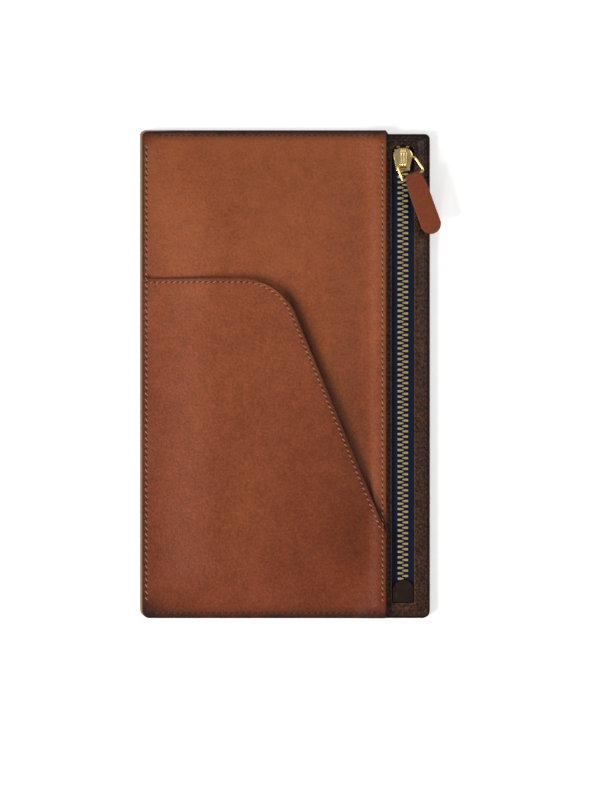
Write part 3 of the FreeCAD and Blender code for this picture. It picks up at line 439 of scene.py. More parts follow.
def lining_cloth():
    """Plain-woven cloth: warp and weft show as a fine check of raised threads."""
    finish, tree, shader, coords = new_finish("woven_lining")
    axes = wire(tree, "ShaderNodeSeparateXYZ", {0: coords}).outputs
    warp, weft = ridges(tree, axes[0], 0.42), ridges(tree, axes[1], 0.42)
    weave = sums(tree, "MULTIPLY", warp, weft)
    worn = spots(tree, coords, 9, 3)
    checks = stretched(tree, weave, -1, 1, 0.1, 0.6)
    share = sums(tree, "ADD", checks, stretched(tree, worn, 0.3, 0.7, 0, 0.4))
    colour = blended(tree, share, dye("#5a4030"), dye("#84644c"))
    coat(tree, shader, colour, weave, 0.5, 0.05)
    fix(shader, {"Roughness": 0.8, "Sheen Weight": 0.25, "Sheen Roughness": 0.5})
    return finish


BAG_FOOT, BAG_FLAT = (-60.5, 46.9, -106.0, 106.0), (-30.0, 16.0, -76.0, 72.0)
ZIP_FOOT, ZIP_FLAT = (38.7, 62.4, -106.8, 106.2), (41.7, 60.0, -105.2, 104.6)
BAG_RISE, ZIP_RISE, LAP_RISE = 5.1, 1.8, 1.4
FRONT_LINING_LOW, TAPE_LOW, STRIP_LOW, CLOTH_THICK = 1.5, 1.8, 2.2, 0.28
ZIP_X = 53.2
WINDOW_LEFT, WINDOW_RIGHT, WINDOW_FOOT, WINDOW_TOP = 48.2, 58.2, -103.0, 103.2


def higher(a, b, ease=0.9):
    """The higher of two surfaces, with the valley between them eased."""
    ease = ease * np.clip(a + b, 1e-3, 1)
    share = np.clip(0.5 + 0.5 * (a - b) / ease, 0, 1)
    return a * share + b * (1 - share) + ease * share * (1 - share)


def slack(x, y):
    """The slight waves of leather that has been handled."""
    waves = np.sin(x / 15 + y / 41 + 0.6) * np.sin(y / 19 - x / 57) + 0.6 * np.sin(x / 9.5 - y / 13 + 2)
    dent = np.exp(-(((x - 4) / 26) ** 2) - (((y - 86.5) / 2.6) ** 2))
    return 0.11 * waves - 0.3 * dent


def bag_height(x, y):
    """How far the front of the bag stands up over the flat seams."""
    level = box_swell(x, y, BAG_FOOT, BAG_FLAT)
    return BAG_RISE * level + slack(x, y) * level


def zip_height(x, y):
    """How far the zip side stands up over its rim."""
    return ZIP_RISE * box_swell(x, y, ZIP_FOOT, ZIP_FLAT)


def window_line():
    """The slot for the zip, turning the way a hole does."""
    corners = [(WINDOW_LEFT, WINDOW_FOOT, 0.6), (WINDOW_LEFT, WINDOW_TOP, 3.6)]
    return die_line(corners + [(WINDOW_RIGHT, WINDOW_TOP, 3.6), (WINDOW_RIGHT, WINDOW_FOOT, 0.6)])


# Soft woven cloth: a dull brown check, seen only where the mouth and the zip gape.
cloth = lining_cloth()
lined = [(-63.9, -109.7, 3.2), (65.1, -109.7, 3.2), (65.1, 107.9, 2.2)]
lined_line = die_line([*lined, (45.4, 107.9, 0), (45.4, 109.1, 0), (-63.9, 109.1, 2.2)])
over_board = (BOARD[0] - 0.5, BOARD[1] + 0.5, BOARD[2] - 0.5, BOARD[3] + 0.5)
board_end = (BOARD[0] - 0.1, BOARD[1] + 0.1, BOARD[2] - 0.1, BOARD[3] + 0.1)
back_lining = cut_sheet(
    "back_lining_cloth",
    cloth,
    [lined_line],
    lambda x, y: 1.21 + 0.5 * box_swell(x, y, over_board, board_end),
    CLOTH_THICK,
    soft=0.1,
    grid=2.6,
)
front_lining = cut_sheet(
    "front_lining_cloth",
    cloth,
    [lined_line, window_line()],
    lambda x, y: FRONT_LINING_LOW + higher(bag_height(x, y), zip_height(x, y)),
    CLOTH_THICK,
    soft=0.1,
)
for piece, node in ((back_lining, "back_lining"), (front_lining, "front_lining")):
    seat(piece, node)


# Zip tapes: two ribbons of navy polyester, woven with fine ribs along their length and a
# corded inner edge that the teeth are clamped to. They are glued and sewn under the strip.
# Each comes apart from the other as the slider goes down, but stays together at its foot.

TAPE_OUT, TAPE_PART = 11.6, 0.45
SIDES = ((-1, "left"), (1, "right"))
TAPE_FOOT, TAPE_HEAD, TAPE_SPLIT = -108.8, 107.0, -86.2
SPREAD_FROM, SPREAD_TO, SPREAD = 92.0, 98.5, 1.45


def ribbon(name, base, light):
    """Woven ribbon: ribs run along it, crossed by a close weft, with a slight silky sheen."""
    finish, tree, shader, coords = new_finish(name)
    axes = wire(tree, "ShaderNodeSeparateXYZ", {0: coords}).outputs
    rib, weft = ridges(tree, axes[0], 0.75), ridges(tree, axes[1], 0.5)
    height = sums(tree, "ADD", rib, sums(tree, "MULTIPLY", weft, 0.5))
    fuzz = spots(tree, coords, 1.1, 3, 0.7)
    ribs = stretched(tree, height, -1.5, 1.5, 0, 0.7)
    share = sums(tree, "ADD", ribs, stretched(tree, fuzz, 0.3, 0.7, 0, 0.3))
    coat(tree, shader, blended(tree, share, dye(base), dye(light)), height, 0.6, 0.07)
    fix(shader, {"Roughness": 0.66, "Specular IOR Level": 0.12})
    return finish


def tape_bed(x, y):
    """The tapes lie on the front lining, and rise with it from the end seams."""
    return TAPE_LOW + zip_height(x, y)


def tape_thickness(x, y, away):
    """Thin ribbon with a cord woven into its inner edge."""
    inner = TAPE_PART + SPREAD * swell(y, SPREAD_FROM, SPREAD_TO)
    cord = np.exp(-(((np.abs(x - ZIP_X) - inner - 0.55) / 0.42) ** 2))
    return 0.36 + 0.22 * cord


def draw_back(piece):
    """Gives one side of the zip its own copy of its mesh."""
    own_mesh(piece)


# Filament yarn in a close rib: deep navy, with fine lines along it and no shine.
navy = ribbon("woven_navy_zip_tape", "#080e1e", "#16203a")
for side, word in SIDES:
    inner, spread = ZIP_X + side * TAPE_PART, ZIP_X + side * (TAPE_PART + SPREAD)
    outer = ZIP_X + side * TAPE_OUT
    below = TAPE_SPLIT - 0.02
    upper = [(outer, TAPE_SPLIT, 0), (inner, TAPE_SPLIT, 0), (inner, SPREAD_FROM, 0)]
    upper += [(spread, SPREAD_TO, 0), (spread, TAPE_HEAD, 0), (outer, TAPE_HEAD, 0)]
    foot = [(outer, TAPE_FOOT, 0), (inner, TAPE_FOOT, 0), (inner, below, 0), (outer, below, 0)]
    for part, corners in (("", upper), ("_foot", foot)):
        outline = die_line(corners if side < 0 else corners[::-1])
        name = f"zip_tape_{word}{part}_ribbon"
        tape = cut_sheet(name, navy, [outline], tape_bed, tape_thickness, soft=0.12, grid=1.6)
        seat(tape, f"zip_tape_{word}")
        if not part:
            draw_back(tape)


# Zip teeth: stamped brass, each a clamp over the tape's cord with a narrow head that hooks
# into the other row. The two rows are offset by half a pitch, and part inside the slider.

CHAIN_Z, PITCH = 3.8, 2.41


def brass(name, base, deep, polish, brushed=0.5):
    """Polished yellow brass under clear lacquer, with faint brushing and darker low spots."""
    finish, tree, shader, coords = new_finish(name)
    cast = spots(tree, coords, 1.6, 3)
    scratch = out(tree, "ShaderNodeMapping", {"Vector": coords, "Scale": (1, 0.12, 1)})
    lines = spots(tree, scratch, 0.35, 3, 0.7)
    coat(tree, shader, blended(tree, cast, dye(base), dye(deep)), lines, 0.2 * brushed, 0.01)
    tree.links.new(stretched(tree, lines, 0.3, 0.7, polish, polish + 0.07), shader.inputs["Roughness"])
    fix(shader, {"Metallic": 1.0})
    return finish


def tooth_shape(name, side, finish):
    """One tooth about its own middle: clamp, shoulder and head, with its edges broken."""
    half = [(2.4, 0.42), (2.2, 0.575), (0.85, 0.575), (0.45, 0.36), (-0.15, 0.36), (-0.35, 0.2)]
    plan = half + [(x, -y) for x, y in half[::-1]]
    levels = [(-1.1, 0.8), (-0.8, 1.0), (0.8, 1.0), (1.1, 0.8)]
    places = []
    for z, share in levels:
        for x, y in plan:
            drawn_in = 1.0 + (x - 1.0) * (share * 0.3 + 0.7)
            height = z * (0.68 if x < 0.6 else 1 - 0.34 * max(0, x - 0.9) / 1.5)
            places.append((side * drawn_in, side * y * share, height))
    count = len(plan)
    faces = [tuple(range(count)), tuple(range(3 * count, 4 * count))[::-1]]
    for level in range(3):
        for n in range(count):
            a, b = level * count + n, level * count + (n + 1) % count
            faces.append((b, a, a + count, b + count))
    tooth = new_mesh(name, places, faces, finish)
    tooth.data.shade_flat()
    return tooth


def nodes_group(name, inputs):
    """A geometry tree with named inputs, and its two ends."""
    tree = bpy.data.node_groups.new(name, "GeometryNodeTree")
    tree.interface.new_socket("Geometry", in_out="INPUT", socket_type="NodeSocketGeometry")
    for word, kind in inputs:
        tree.interface.new_socket(word, in_out="INPUT", socket_type=kind)
    tree.interface.new_socket("Geometry", in_out="OUTPUT", socket_type="NodeSocketGeometry")
    return tree, wire(tree, "NodeGroupInput"), wire(tree, "NodeGroupOutput")


def grow(name, guide, tree, values):
    """Runs a geometry tree on a guide, and keeps what it makes as one plain mesh piece."""
    made = guide.modifiers.new("made", "NODES")
    made.node_group = tree
    for item in tree.interface.items_tree:
        if item.in_out == "INPUT" and item.name in values:
            made[item.identifier] = values[item.name]
    solid = guide.evaluated_get(bpy.context.evaluated_depsgraph_get())
    mesh = bpy.data.meshes.new_from_object(solid)
    guide.modifiers.remove(made)
    bpy.data.objects.remove(guide)
    mesh.name = name
    return in_scene(name, mesh)


def guide_line(name, places, ups=None):
    """Points joined into a line in mm, with the surface's upward direction at each."""
    mesh = bpy.data.meshes.new(name)
    pairs = [(n, n + 1) for n in range(len(places) - 1)]
    mesh.from_pydata([tuple(p) for p in np.asarray(places) * MM], pairs, [])
    if ups is not None:
        layer = mesh.attributes.new("up", "FLOAT_VECTOR", "POINT")
        layer.data.foreach_set("vector", np.asarray(ups, "f").ravel())
    return in_scene(name, mesh)


def chain_tree():
    """Teeth set one pitch apart along a line, all facing the same way."""
    inputs = [("Pitch", "NodeSocketFloat"), ("Tooth", "NodeSocketObject"), ("Brass", "NodeSocketMaterial")]
    tree, start, end = nodes_group("zip_chain", inputs)
    given = start.outputs
    line = out(tree, "GeometryNodeMeshToCurve", {0: given["Geometry"]})
    sockets = {"Curve": line, "Length": given["Pitch"]}
    spaced = out(tree, "GeometryNodeResampleCurve", sockets, mode="LENGTH")
    shape = wire(tree, "GeometryNodeObjectInfo", {"Object": given["Tooth"]}).outputs["Geometry"]
    rows = out(tree, "GeometryNodeInstanceOnPoints", {"Points": spaced, "Instance": shape})
    solid = out(tree, "GeometryNodeRealizeInstances", {0: rows})
    sockets = {"Geometry": solid, "Material": given["Brass"]}
    tree.links.new(out(tree, "GeometryNodeSetMaterial", sockets), end.inputs[0])
    return tree


# Stamped teeth polished in a drum: each catches the light on its crown and is dark between.
tooth_brass = brass("lacquered_brass_teeth", "#fff0cb", "#e3c586", 0.3, 0.3)
chain = chain_tree()
for (side, word), (highest, count) in zip(SIDES, ((100.65, 81), (99.445, 80))):
    tooth = tooth_shape(f"tooth_{word}", side, tooth_brass)
    levels = [highest - n * PITCH for n in range(count)]
    split = next(n for n, y in enumerate(levels) if y < TAPE_SPLIT)
    for part, some in (("", levels[:split]), ("_foot", levels[split:])):
        shares = [float(swell(y, SPREAD_FROM, SPREAD_TO)) for y in some]
        places = [(ZIP_X + side * SPREAD * share, y, CHAIN_Z) for y, share in zip(some, shares)]
        values = {"Pitch": PITCH * MM * 0.998, "Tooth": tooth, "Brass": tooth_brass}
        row = grow(f"zip_teeth_{word}{part}_row", guide_line("chain_guide", places), chain, values)
        row.data.shade_flat()
        seat(row, f"zip_teeth_{word}")
        if not part:
            draw_back(row)
    bpy.data.objects.remove(tooth)


# Zip stops: small brass staples pressed over the tapes at the top, and a box at the foot
# that holds the two rows together. Their CAD shapes are carried over with their own finish.

# Thin strip pressed round the tape: the same brass, duller for not being tumbled.
stop_brass = brass("pressed_brass_stops", "#dcb976", "#a07a40", 0.3)
for node in ("top_stop_left", "top_stop_right", "foot_stop"):
    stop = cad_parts[node]
    stop.data.materials.clear()
    stop.data.materials.append(stop_brass)


# Zip strip: one piece of dark brown waxed calf, with a slot cut through it for the zip.
# It is stretched over the tapes, and its inner edge goes under the front panel.

STRIP_LEFT, STRIP_THICK = 38.7, 1.0


def strip_bed(x, y):
    """The underside of the strip, over the rim and up onto the zip."""
    return STRIP_LOW + zip_height(x, y)


def row_line(*corners, step=1.0):
    """Points along an open run, from its corners (x, y, rounding), as part of a line closed far off."""
    (x0, y0), (x1, y1) = corners[0][:2], corners[-1][:2]
    closed = die_line([*corners, (x1 + 900, y1 + 901, 0), (x0 + 900, y0 + 903, 0)], step)
    first = np.argmin(((closed - corners[0][:2]) ** 2).sum(1))
    closed = np.roll(closed, -first, 0)
    last = np.argmin(((closed - corners[-1][:2]) ** 2).sum(1))
    return closed[: last + 1]


rim_row = row_line((47.6, -107.6, 0), (63.4, -107.6, 1.6), (63.4, 106.6, 1.6), (47.6, 106.6, 0))
window_rows = [
    row_line((46.8, -101.2, 0), (46.8, 97.8, 0)),
    row_line((46.8, 100.3, 0), (46.8, 103.9, 4.2), (59.0, 103.9, 4.2), (59.0, 100.3, 0)),
    row_line((58.9, -101.2, 0), (58.9, 97.8, 0)),
]


def strip_marks(x, y, away):
    """Waxed dark all over and darker towards the top, nearly black along the rim, lighter at the slot's cut
    edge, with a painted shadow line where the front panel's edge shades the strip.
    """
    rim = np.minimum(np.minimum(CASE_RIGHT - x, y - CASE_FOOT), STEP_TOP - y)
    slot = near(away, 0.5) * (rim > 5)
    tone = 0.45 + 0.5 * near(CASE_TOP - y, 16) - 0.5 * slot
    # The dark line at x 47.2 is painted shadow cast by the front panel's edge; the rim is burnished.
    burnish = np.maximum(near(rim, 1.5), 0.9 * near(np.abs(x - 47.2), 0.5))
    return {"tone": tone, "burnish": burnish, "paint": near(away, 0.3) * (rim < 5)}


# Calf rubbed with dark wax, which gathers in its grain: nearly black, with brown breaking through.
waxed_calf = tanned(
    "waxed_dark_calf",
    "#50301f",
    "#1c0f09",
    "#0c0604",
    "#080504",
    pebble=1.0,
    mottle=0.3,
    gloss=0.4,
    relief=0.22,
    freckle=0.75,
)
strip_corners = [(STRIP_LEFT, CASE_FOOT, 0), (CASE_RIGHT, CASE_FOOT, 3.4)]
strip_line = die_line([*strip_corners, (CASE_RIGHT, STEP_TOP, 2.4), (STRIP_LEFT, STEP_TOP, 0)])
zip_strip = cut_sheet(
    "zip_strip_leather",
    waxed_calf,
    [strip_line, window_line()],
    strip_bed,
    STRIP_THICK,
    soft=0.4,
    grid=1.8,
    rows=[rim_row, *window_rows],
    marks=strip_marks,
)
seat(zip_strip, "zip_strip")


# Front panel: tan cowhide, dyed and burnished by hand so that it darkens towards its edges.
# It bulges over the compartment, and laps over the strip along the zip side.

PANEL_LEFT, PANEL_RIGHT, PANEL_TOP, FRONT_THICK = -64.2, 45.8, 109.4, 1.2
SLANT_Y, SLANT_ACROSS, SLANT_UP = -72.0, 0.9237, 0.3831


def panel_bed(x, y):
    """The underside of the front panel: bag, then the step up over the strip."""
    over_strip = zip_height(x, y) + LAP_RISE * swell(x, 30.7, 38.7)
    return TAPE_LOW + higher(bag_height(x, y), over_strip)


closed_row = row_line((-62.3, -101.2, 0), (-62.3, 102.5, 0))
top_row = row_line((-57.5, 107.5, 0), (42.0, 107.5, 0))
foot_row = row_line((-57.5, -107.6, 0), (42.0, -107.6, 0))
side_row = row_line((44.0, -101.7, 0), (44.0, 103.0, 0))


def past_slant(x, y):
    """How far a place lies on the pocket's side of its slanted mouth."""
    return (PANEL_RIGHT - x) * SLANT_ACROSS - (y - SLANT_Y) * SLANT_UP


def panel_burnish(x, y):
    """Where heat and wax have darkened the panel: its edges, its foot and one corner."""
    top = 0.95 * near(PANEL_TOP - y, 2.6)
    left = 0.55 * near(x - PANEL_LEFT, 2.0)
    foot = 0.9 * near(y - CASE_FOOT, 3.2)
    side = 0.3 * near(PANEL_RIGHT - x, 1.0)
    corner = 0.95 * near(np.hypot(x - PANEL_LEFT, y - CASE_FOOT), 9.5)
    upper_corner = 0.6 * near(np.hypot(x - PANEL_LEFT, y - PANEL_TOP), 6)
    return 1 - (1 - top) * (1 - left) * (1 - foot) * (1 - side) * (1 - corner) * (1 - upper_corner)


def panel_marks(x, y, away):
    """Tone darker down the panel, partly as painted shade; burnished edges; and a painted shadow, over dye
    settled along it, beside the pocket's slanted mouth.
    """
    # Painted shadow of the pocket's raised slanted mouth on the panel, over a little dye settled along it.
    slant_shadow_and_dye = 0.85 * near(np.abs(past_slant(x, y)), 2.6) * swell(y, -78, -68) * swell(-y, -44, -30)
    burnish = np.maximum(panel_burnish(x, y), slant_shadow_and_dye)
    paint = near(away, 0.6) * (1 - 0.6 * swell(x, 40, 45))
    # The tone darkens towards the foot; beside the pocket's slant it stands in for the pocket's shade, as
    # painted shade.
    return {"tone": np.clip((70 - y) / 180, 0, 1) * 0.4, "burnish": burnish, "paint": paint}


# Hide dyed by hand, with heat-burnished edges: clouded tan that deepens to near black at its rim.
tan_dyed = tanned(
    "hand_dyed_tan_cowhide", "#8c4a2a", "#64270d", "#1e0d07", "#1c0e09", mottle=0.13, gloss=0.56
)
panel_corners = [(PANEL_LEFT, CASE_FOOT, 3.4), (PANEL_RIGHT, CASE_FOOT, 0.8)]
panel_line = die_line([*panel_corners, (PANEL_RIGHT, PANEL_TOP, 0.8), (PANEL_LEFT, PANEL_TOP, 2.4)])
front_panel = cut_sheet(
    "front_panel_leather",
    tan_dyed,
    [panel_line],
    panel_bed,
    FRONT_THICK,
    rows=[closed_row, top_row, foot_row, side_row],
    marks=panel_marks,
)
seat(front_panel, "front_panel")


# Slip pocket: a second sheet of the same tan hide over the lower front, open along a mouth
# that runs level and then turns down in a long slant to the zip side. A thin lining backs it.

POCKET_THICK, POCKET_RISE = 1.1, 0.6
MOUTH_Y, MOUTH_X, MOUTH_ROUND = 43.0, -1.9, 26.0


def pocket_line(inset=0.0):
    """The pocket's outline, with its mouth drawn in by the inset."""
    slant = Vector((PANEL_RIGHT - MOUTH_X, SLANT_Y - MOUTH_Y)).normalized()
    turn = MOUTH_X - inset * (1 + slant.x) / -slant.y
    drop = SLANT_Y - inset / slant.x
    corners = [(PANEL_LEFT, CASE_FOOT, 3.4), (PANEL_RIGHT, CASE_FOOT, 0.8), (PANEL_RIGHT, drop, 0.3)]
    corners += [(turn, MOUTH_Y - inset, MOUTH_ROUND - inset), (PANEL_LEFT, MOUTH_Y - inset, 0.3)]
    return die_line(corners)


def pocket_bed(x, y):
    """The pocket lies on the panel and fills out a little more over the compartment."""
    level = box_swell(x, y, BAG_FOOT, BAG_FLAT)
    slant = past_slant(x, y)
    gape = 0.8 * near(np.minimum(MOUTH_Y - y, np.where(x > -30, slant, 99)), 9)
    return panel_bed(x, y) + FRONT_THICK + (POCKET_RISE + gape) * level


mouth_row = row_line((-60.0, 41.3, 0), (-3.035, 41.3, 24.3), (42.6, -68.72, 0))


def pocket_marks(x, y, away):
    """Darker towards the bottom and towards the zip side; the mouth's raw edge shows lighter."""
    slant = past_slant(x, y)
    mouth = np.minimum(MOUTH_Y - y, np.where(x > -20, slant, 99))
    down = np.clip((42 - y) / 150, 0, 1)
    sides = 0.35 * np.clip((x + 10) / 56, 0, 1) + 0.2 * np.clip((-x - 20) / 30, 0, 1)
    tone = 0.12 + 0.46 * down**0.55 + down * sides
    raw = near(away, 0.35) * (mouth < 1.2)
    burnish = np.maximum(panel_burnish(x, y), 0.35 * near(mouth - 1.7, 0.5))
    return {"tone": tone, "burnish": burnish * (1 - raw), "paint": near(away, 0.35) * (1 - raw)}


pocket_lining = cut_sheet(
    "pocket_lining_cloth",
    cloth,
    [pocket_line(0.5)],
    lambda x, y: pocket_bed(x, y) + 0.01,
    CLOTH_THICK,
    soft=0.1,
    grid=3,
)
seat(pocket_lining, "pocket_lining")
slip_pocket = cut_sheet(
    "slip_pocket_leather",
    tan_dyed,
    [pocket_line()],
    lambda x, y: pocket_bed(x, y) + 0.3,
    POCKET_THICK,
    rows=[closed_row[closed_row[:, 1] < 42], foot_row, side_row[side_row[:, 1] < -72], mouth_row],
    marks=pocket_marks,
)
seat(slip_pocket, "slip_pocket")


# Foot cap: a tongue of the dark calf with an arched top, turned down over the end of the
# zip so that the last teeth and the foot stop can't be seen or catch.

CAP = (48.35, 58.05, -102.9, -92.7)
cap_line = oblong(CAP, 0.4, 4.7, 0.7)
# The same calf pressed smooth over the zip's end, so it shines more than the strip round it.
smooth_calf = tanned(
    "smooth_dark_calf_cap", "#2a1810", "#180c07", "#0c0604", "#080504", mottle=0.15, gloss=0.34
)
foot_cap = cut_sheet(
    "foot_cap_leather",
    smooth_calf,
    [cap_line],
    lambda x, y: 0 * x + 4.08,
    lambda x, y, away: 0.95 + 0.38 * swell(away, 0.2, 3.5),
    soft=0.45,
    grid=1.0,
    marks=lambda x, y, away: {"tone": 0.4, "burnish": 0.5 * near(away, 0.5)},
)
seat(foot_cap, "foot_cap")


# Stitching: waxed linen thread in slanted saddle stitches, each pulled into its needle
# holes. Light tan thread holds the tan leather, and dark brown thread holds the strip.


def waxed_thread(name, base, light):
    """Twisted thread: the plies show as fine slanted ridges under a coat of wax."""
    finish, tree, shader, coords = new_finish(name)
    axes = wire(tree, "ShaderNodeSeparateXYZ", {0: coords}).outputs
    diagonal = sums(tree, "ADD", axes[0], axes[1])
    ply = ridges(tree, diagonal, 0.34)
    worn = spots(tree, coords, 4, 3)
    twist = stretched(tree, ply, -1, 1, 0, 0.6)
    share = sums(tree, "ADD", twist, stretched(tree, worn, 0.3, 0.7, 0, 0.5))
    coat(tree, shader, blended(tree, share, dye(base), dye(light)), ply, 0.5, 0.05)
    fix(shader, {"Roughness": 0.55})
    return finish


def needle_hole():
    """A dark spot of painted shade where an awl's hole lies between two stitches."""
    finish, tree, shader, coords = new_finish("painted_shade_in_awl_hole")
    colour = blended(tree, spots(tree, coords, 0.3), dye("#1a0d08"), dye("#2c170f"))
    tree.links.new(colour, shader.inputs["Base Color"])
    fix(shader, {"Roughness": 0.8})
    return finish


def round_shapes(tree, points, sides, is_hole, turned, size):
    """Round shapes set on points, each marked as a needle hole or as thread."""
    sockets = {"Segments": sides, "Rings": 5 - 2 * is_hole, "Radius": 0.5}
    shape = out(tree, "GeometryNodeMeshUVSphere", sockets)
    shape = out(tree, "GeometryNodeSetShadeSmooth", {0: shape})
    sockets = {"Geometry": shape, "Name": "pricked", "Value": bool(is_hole)}
    kind = "GeometryNodeStoreNamedAttribute"
    shape = out(tree, kind, sockets, data_type="BOOLEAN", domain="FACE")
    sockets = {"Points": points, "Instance": shape, "Rotation": turned, "Scale": size}
    return out(tree, "GeometryNodeInstanceOnPoints", sockets)


def stitch_tree():
    """Stitches set along a line at one pitch and one slant, with a dark spot of painted shade for the hole
    between each two.
    """
    inputs = [(word, "NodeSocketFloat") for word in ("Pitch", "Long", "Wide", "High", "Slant", "Hole")]
    inputs += [("Thread", "NodeSocketMaterial"), ("Shadow", "NodeSocketMaterial")]
    tree, start, end = nodes_group("saddle_stitch", inputs)
    given = start.outputs
    line = out(tree, "GeometryNodeMeshToCurve", {0: given["Geometry"]})
    sockets = {"Curve": line, "Length": given["Pitch"]}
    spaced = out(tree, "GeometryNodeResampleCurve", sockets, mode="LENGTH")
    tangent = out(tree, "GeometryNodeInputTangent")
    kind = "GeometryNodeInputNamedAttribute"
    up = out(tree, kind, {"Name": "up"}, data_type="FLOAT_VECTOR")
    kind = "FunctionNodeAlignRotationToVector"
    along = out(tree, kind, {"Vector": tangent}, axis="X")
    upright = out(tree, kind, {"Rotation": along, "Vector": up}, axis="Z", pivot_axis="X")
    angle = out(tree, "ShaderNodeCombineXYZ", {2: given["Slant"]})
    lean = out(tree, "FunctionNodeEulerToRotation", {0: angle})
    sockets = {0: upright, 1: lean}
    turned = out(tree, "FunctionNodeRotateRotation", sockets, rotation_space="LOCAL")
    sockets = {0: given["Long"], 1: given["Wide"], 2: given["High"]}
    size = out(tree, "ShaderNodeCombineXYZ", sockets)
    threads = round_shapes(tree, spaced, 8, 0, turned, size)
    step = {0: tangent, "Scale": sums(tree, "MULTIPLY", given["Pitch"], 0.5)}
    step = out(tree, "ShaderNodeVectorMath", step, operation="SCALE")
    between = out(tree, "GeometryNodeSetPosition", {"Geometry": spaced, "Offset": step})
    sockets = {0: given["Hole"], 1: given["Hole"], 2: sums(tree, "MULTIPLY", given["Hole"], 0.35)}
    size = out(tree, "ShaderNodeCombineXYZ", sockets)
    holes = round_shapes(tree, between, 6, 1, turned, size)
    both = wire(tree, "GeometryNodeJoinGeometry")
    tree.links.new(holes, both.inputs[0])
    tree.links.new(threads, both.inputs[0])
    solid = out(tree, "GeometryNodeRealizeInstances", {0: both.outputs[0]})
    kind = "GeometryNodeInputNamedAttribute"
    pricked = out(tree, kind, {"Name": "pricked"}, data_type="BOOLEAN")
    sockets = {"Geometry": solid, "Material": given["Thread"]}
    sewn = out(tree, "GeometryNodeSetMaterial", sockets)
    sockets = {"Geometry": sewn, "Selection": pricked, "Material": given["Shadow"]}
    tree.links.new(out(tree, "GeometryNodeSetMaterial", sockets), end.inputs[0])
    return tree


def sewn_row(
    node, line, top, thread, slot, pitch=2.63, long=1.95, wide=0.56, slant=30, hole=0.78, body="case"
):
    """One run of stitching laid on a surface, in place of its CAD node."""
    x, y = line[:, 0], line[:, 1]
    z = top(x, y)
    slope_x = (top(x + 0.3, y) - top(x - 0.3, y)) / 0.6
    slope_y = (top(x, y + 0.3) - top(x, y - 0.3)) / 0.6
    ups = np.column_stack((-slope_x, -slope_y, np.ones(len(x))))
    ups = ups / np.linalg.norm(ups, axis=1)[:, None]
    guide = guide_line("sewing_guide", np.column_stack((x, y, z)), ups)
    sizes = {"Pitch": pitch, "Long": long, "Wide": wide, "High": 0.5, "Hole": hole}
    values = {word: number * MM for word, number in sizes.items()}
    values.update({"Slant": math.radians(slant), "Thread": thread, "Shadow": awl_hole})
    row = grow(node + "_thread", guide, sewing, values)
    seat(row, node, body)


def sheet_top(bed, thick, press=0.16):
    """The height that thread lies at on a pressed furrow."""
    return lambda x, y: bed(x, y) + thick - press


awl_hole = needle_hole()
sewing = stitch_tree()
# Linen waxed by hand: pale where it lies proud, brown where edge dye has burnt into it.
light_linen = waxed_thread("waxed_tan_linen_thread", "#8d5c40", "#b07f5e")
burnt_linen = waxed_thread("burnished_linen_thread", "#3c2115", "#5e3826")
dark_linen = waxed_thread("waxed_brown_linen_thread", "#20130c", "#452a1c")
panel_top_at = sheet_top(panel_bed, FRONT_THICK)
pocket_top_at = sheet_top(pocket_bed, 0.3 + POCKET_THICK)
strip_top_at = sheet_top(strip_bed, STRIP_THICK)


def layered_top(x, y):
    """The top of whichever sheet of tan leather is uppermost at a seam."""
    slant = past_slant(x, y)
    under_mouth = (y < MOUTH_Y) & ((x < -20) | (slant > 0))
    return np.where(under_mouth, pocket_top_at(x, y), panel_top_at(x, y))


bold = {"pitch": 2.84, "long": 2.3, "slant": 36, "hole": 1.0}
sewn_row("stitches_closed_side", closed_row, layered_top, light_linen, "tan_thread", **bold)
sewn_row("stitches_top", top_row, panel_top_at, burnt_linen, "tan_thread")
sewn_row("stitches_bottom", foot_row, pocket_top_at, burnt_linen, "tan_thread")
sewn_row("stitches_panel_side", side_row, layered_top, light_linen, "tan_thread")
sewn_row("stitches_mouth", mouth_row, pocket_top_at, light_linen, "tan_thread")
sewn_row("stitches_zip_side", rim_row, strip_top_at, dark_linen, "brown_thread")
for edge, line in zip(("left", "top", "right"), window_rows):
    sewn_row(f"stitches_window_{edge}", line, strip_top_at, dark_linen, "brown_thread")


# Slider body: die-cast zinc plated in polished brass. Two plates are joined by a wedge at
# the head, and a lip down each side of both plates guides the teeth through.

SLIDER_Y, SLIDER_LOW, SLIDER_HIGH = 96.55, 1.75, 5.85


def joined(name, pieces):
    """Several mesh pieces as one, in the order given."""
    places, faces, count = [], [], 0
    for piece in pieces:
        places += [tuple(v.co) for v in piece.data.vertices]
        faces += [tuple(count + n for n in face.vertices) for face in piece.data.polygons]
        count = len(places)
    whole = new_mesh(name, np.array(places) / MM, faces, pieces[0].data.materials[0])
    for piece in pieces:
        bpy.data.objects.remove(piece)
    return whole


def slider_line(inset):
    """The slider's outline: round shoulders at the head and a narrow mouth at the foot."""
    half = [(3.1 - inset, -5.25 + inset, 0.5), (3.1 - inset, -4.05, 2)]
    half += [(4.4 - inset, 1.95, 2), (4.4 - inset, 5.25 - inset, 3.7)]
    corners = [(ZIP_X + x, SLIDER_Y + y, r) for x, y, r in half]
    corners += [(ZIP_X - x, SLIDER_Y + y, r) for x, y, r in half[::-1]]
    return die_line(corners, 0.6)


def level(z):
    """A flat bed at one height."""
    return lambda x, y: 0 * x + z


def lip_line(side):
    """The plan of the lip down one side of a plate."""
    line = [(3.1, -5.2), (3.1, -4.05), (4.4, 1.95), (4.4, 3.2)]
    inner = [(4.4 - 0.75, 3.2), (4.4 - 0.75, 1.95), (3.1 - 0.45, -4.05), (3.1 - 0.45, -5.2)]
    corners = [(ZIP_X + side * x, SLIDER_Y + y, 0.12) for x, y in line + inner]
    return die_line(corners if side > 0 else corners[::-1], 0.6)


def domed(x, y, away):
    """The top plate's thickness, which swells in from its edge."""
    return 0.34 + 0.5 * np.sqrt(np.clip(away / 2.8, 0, 1))


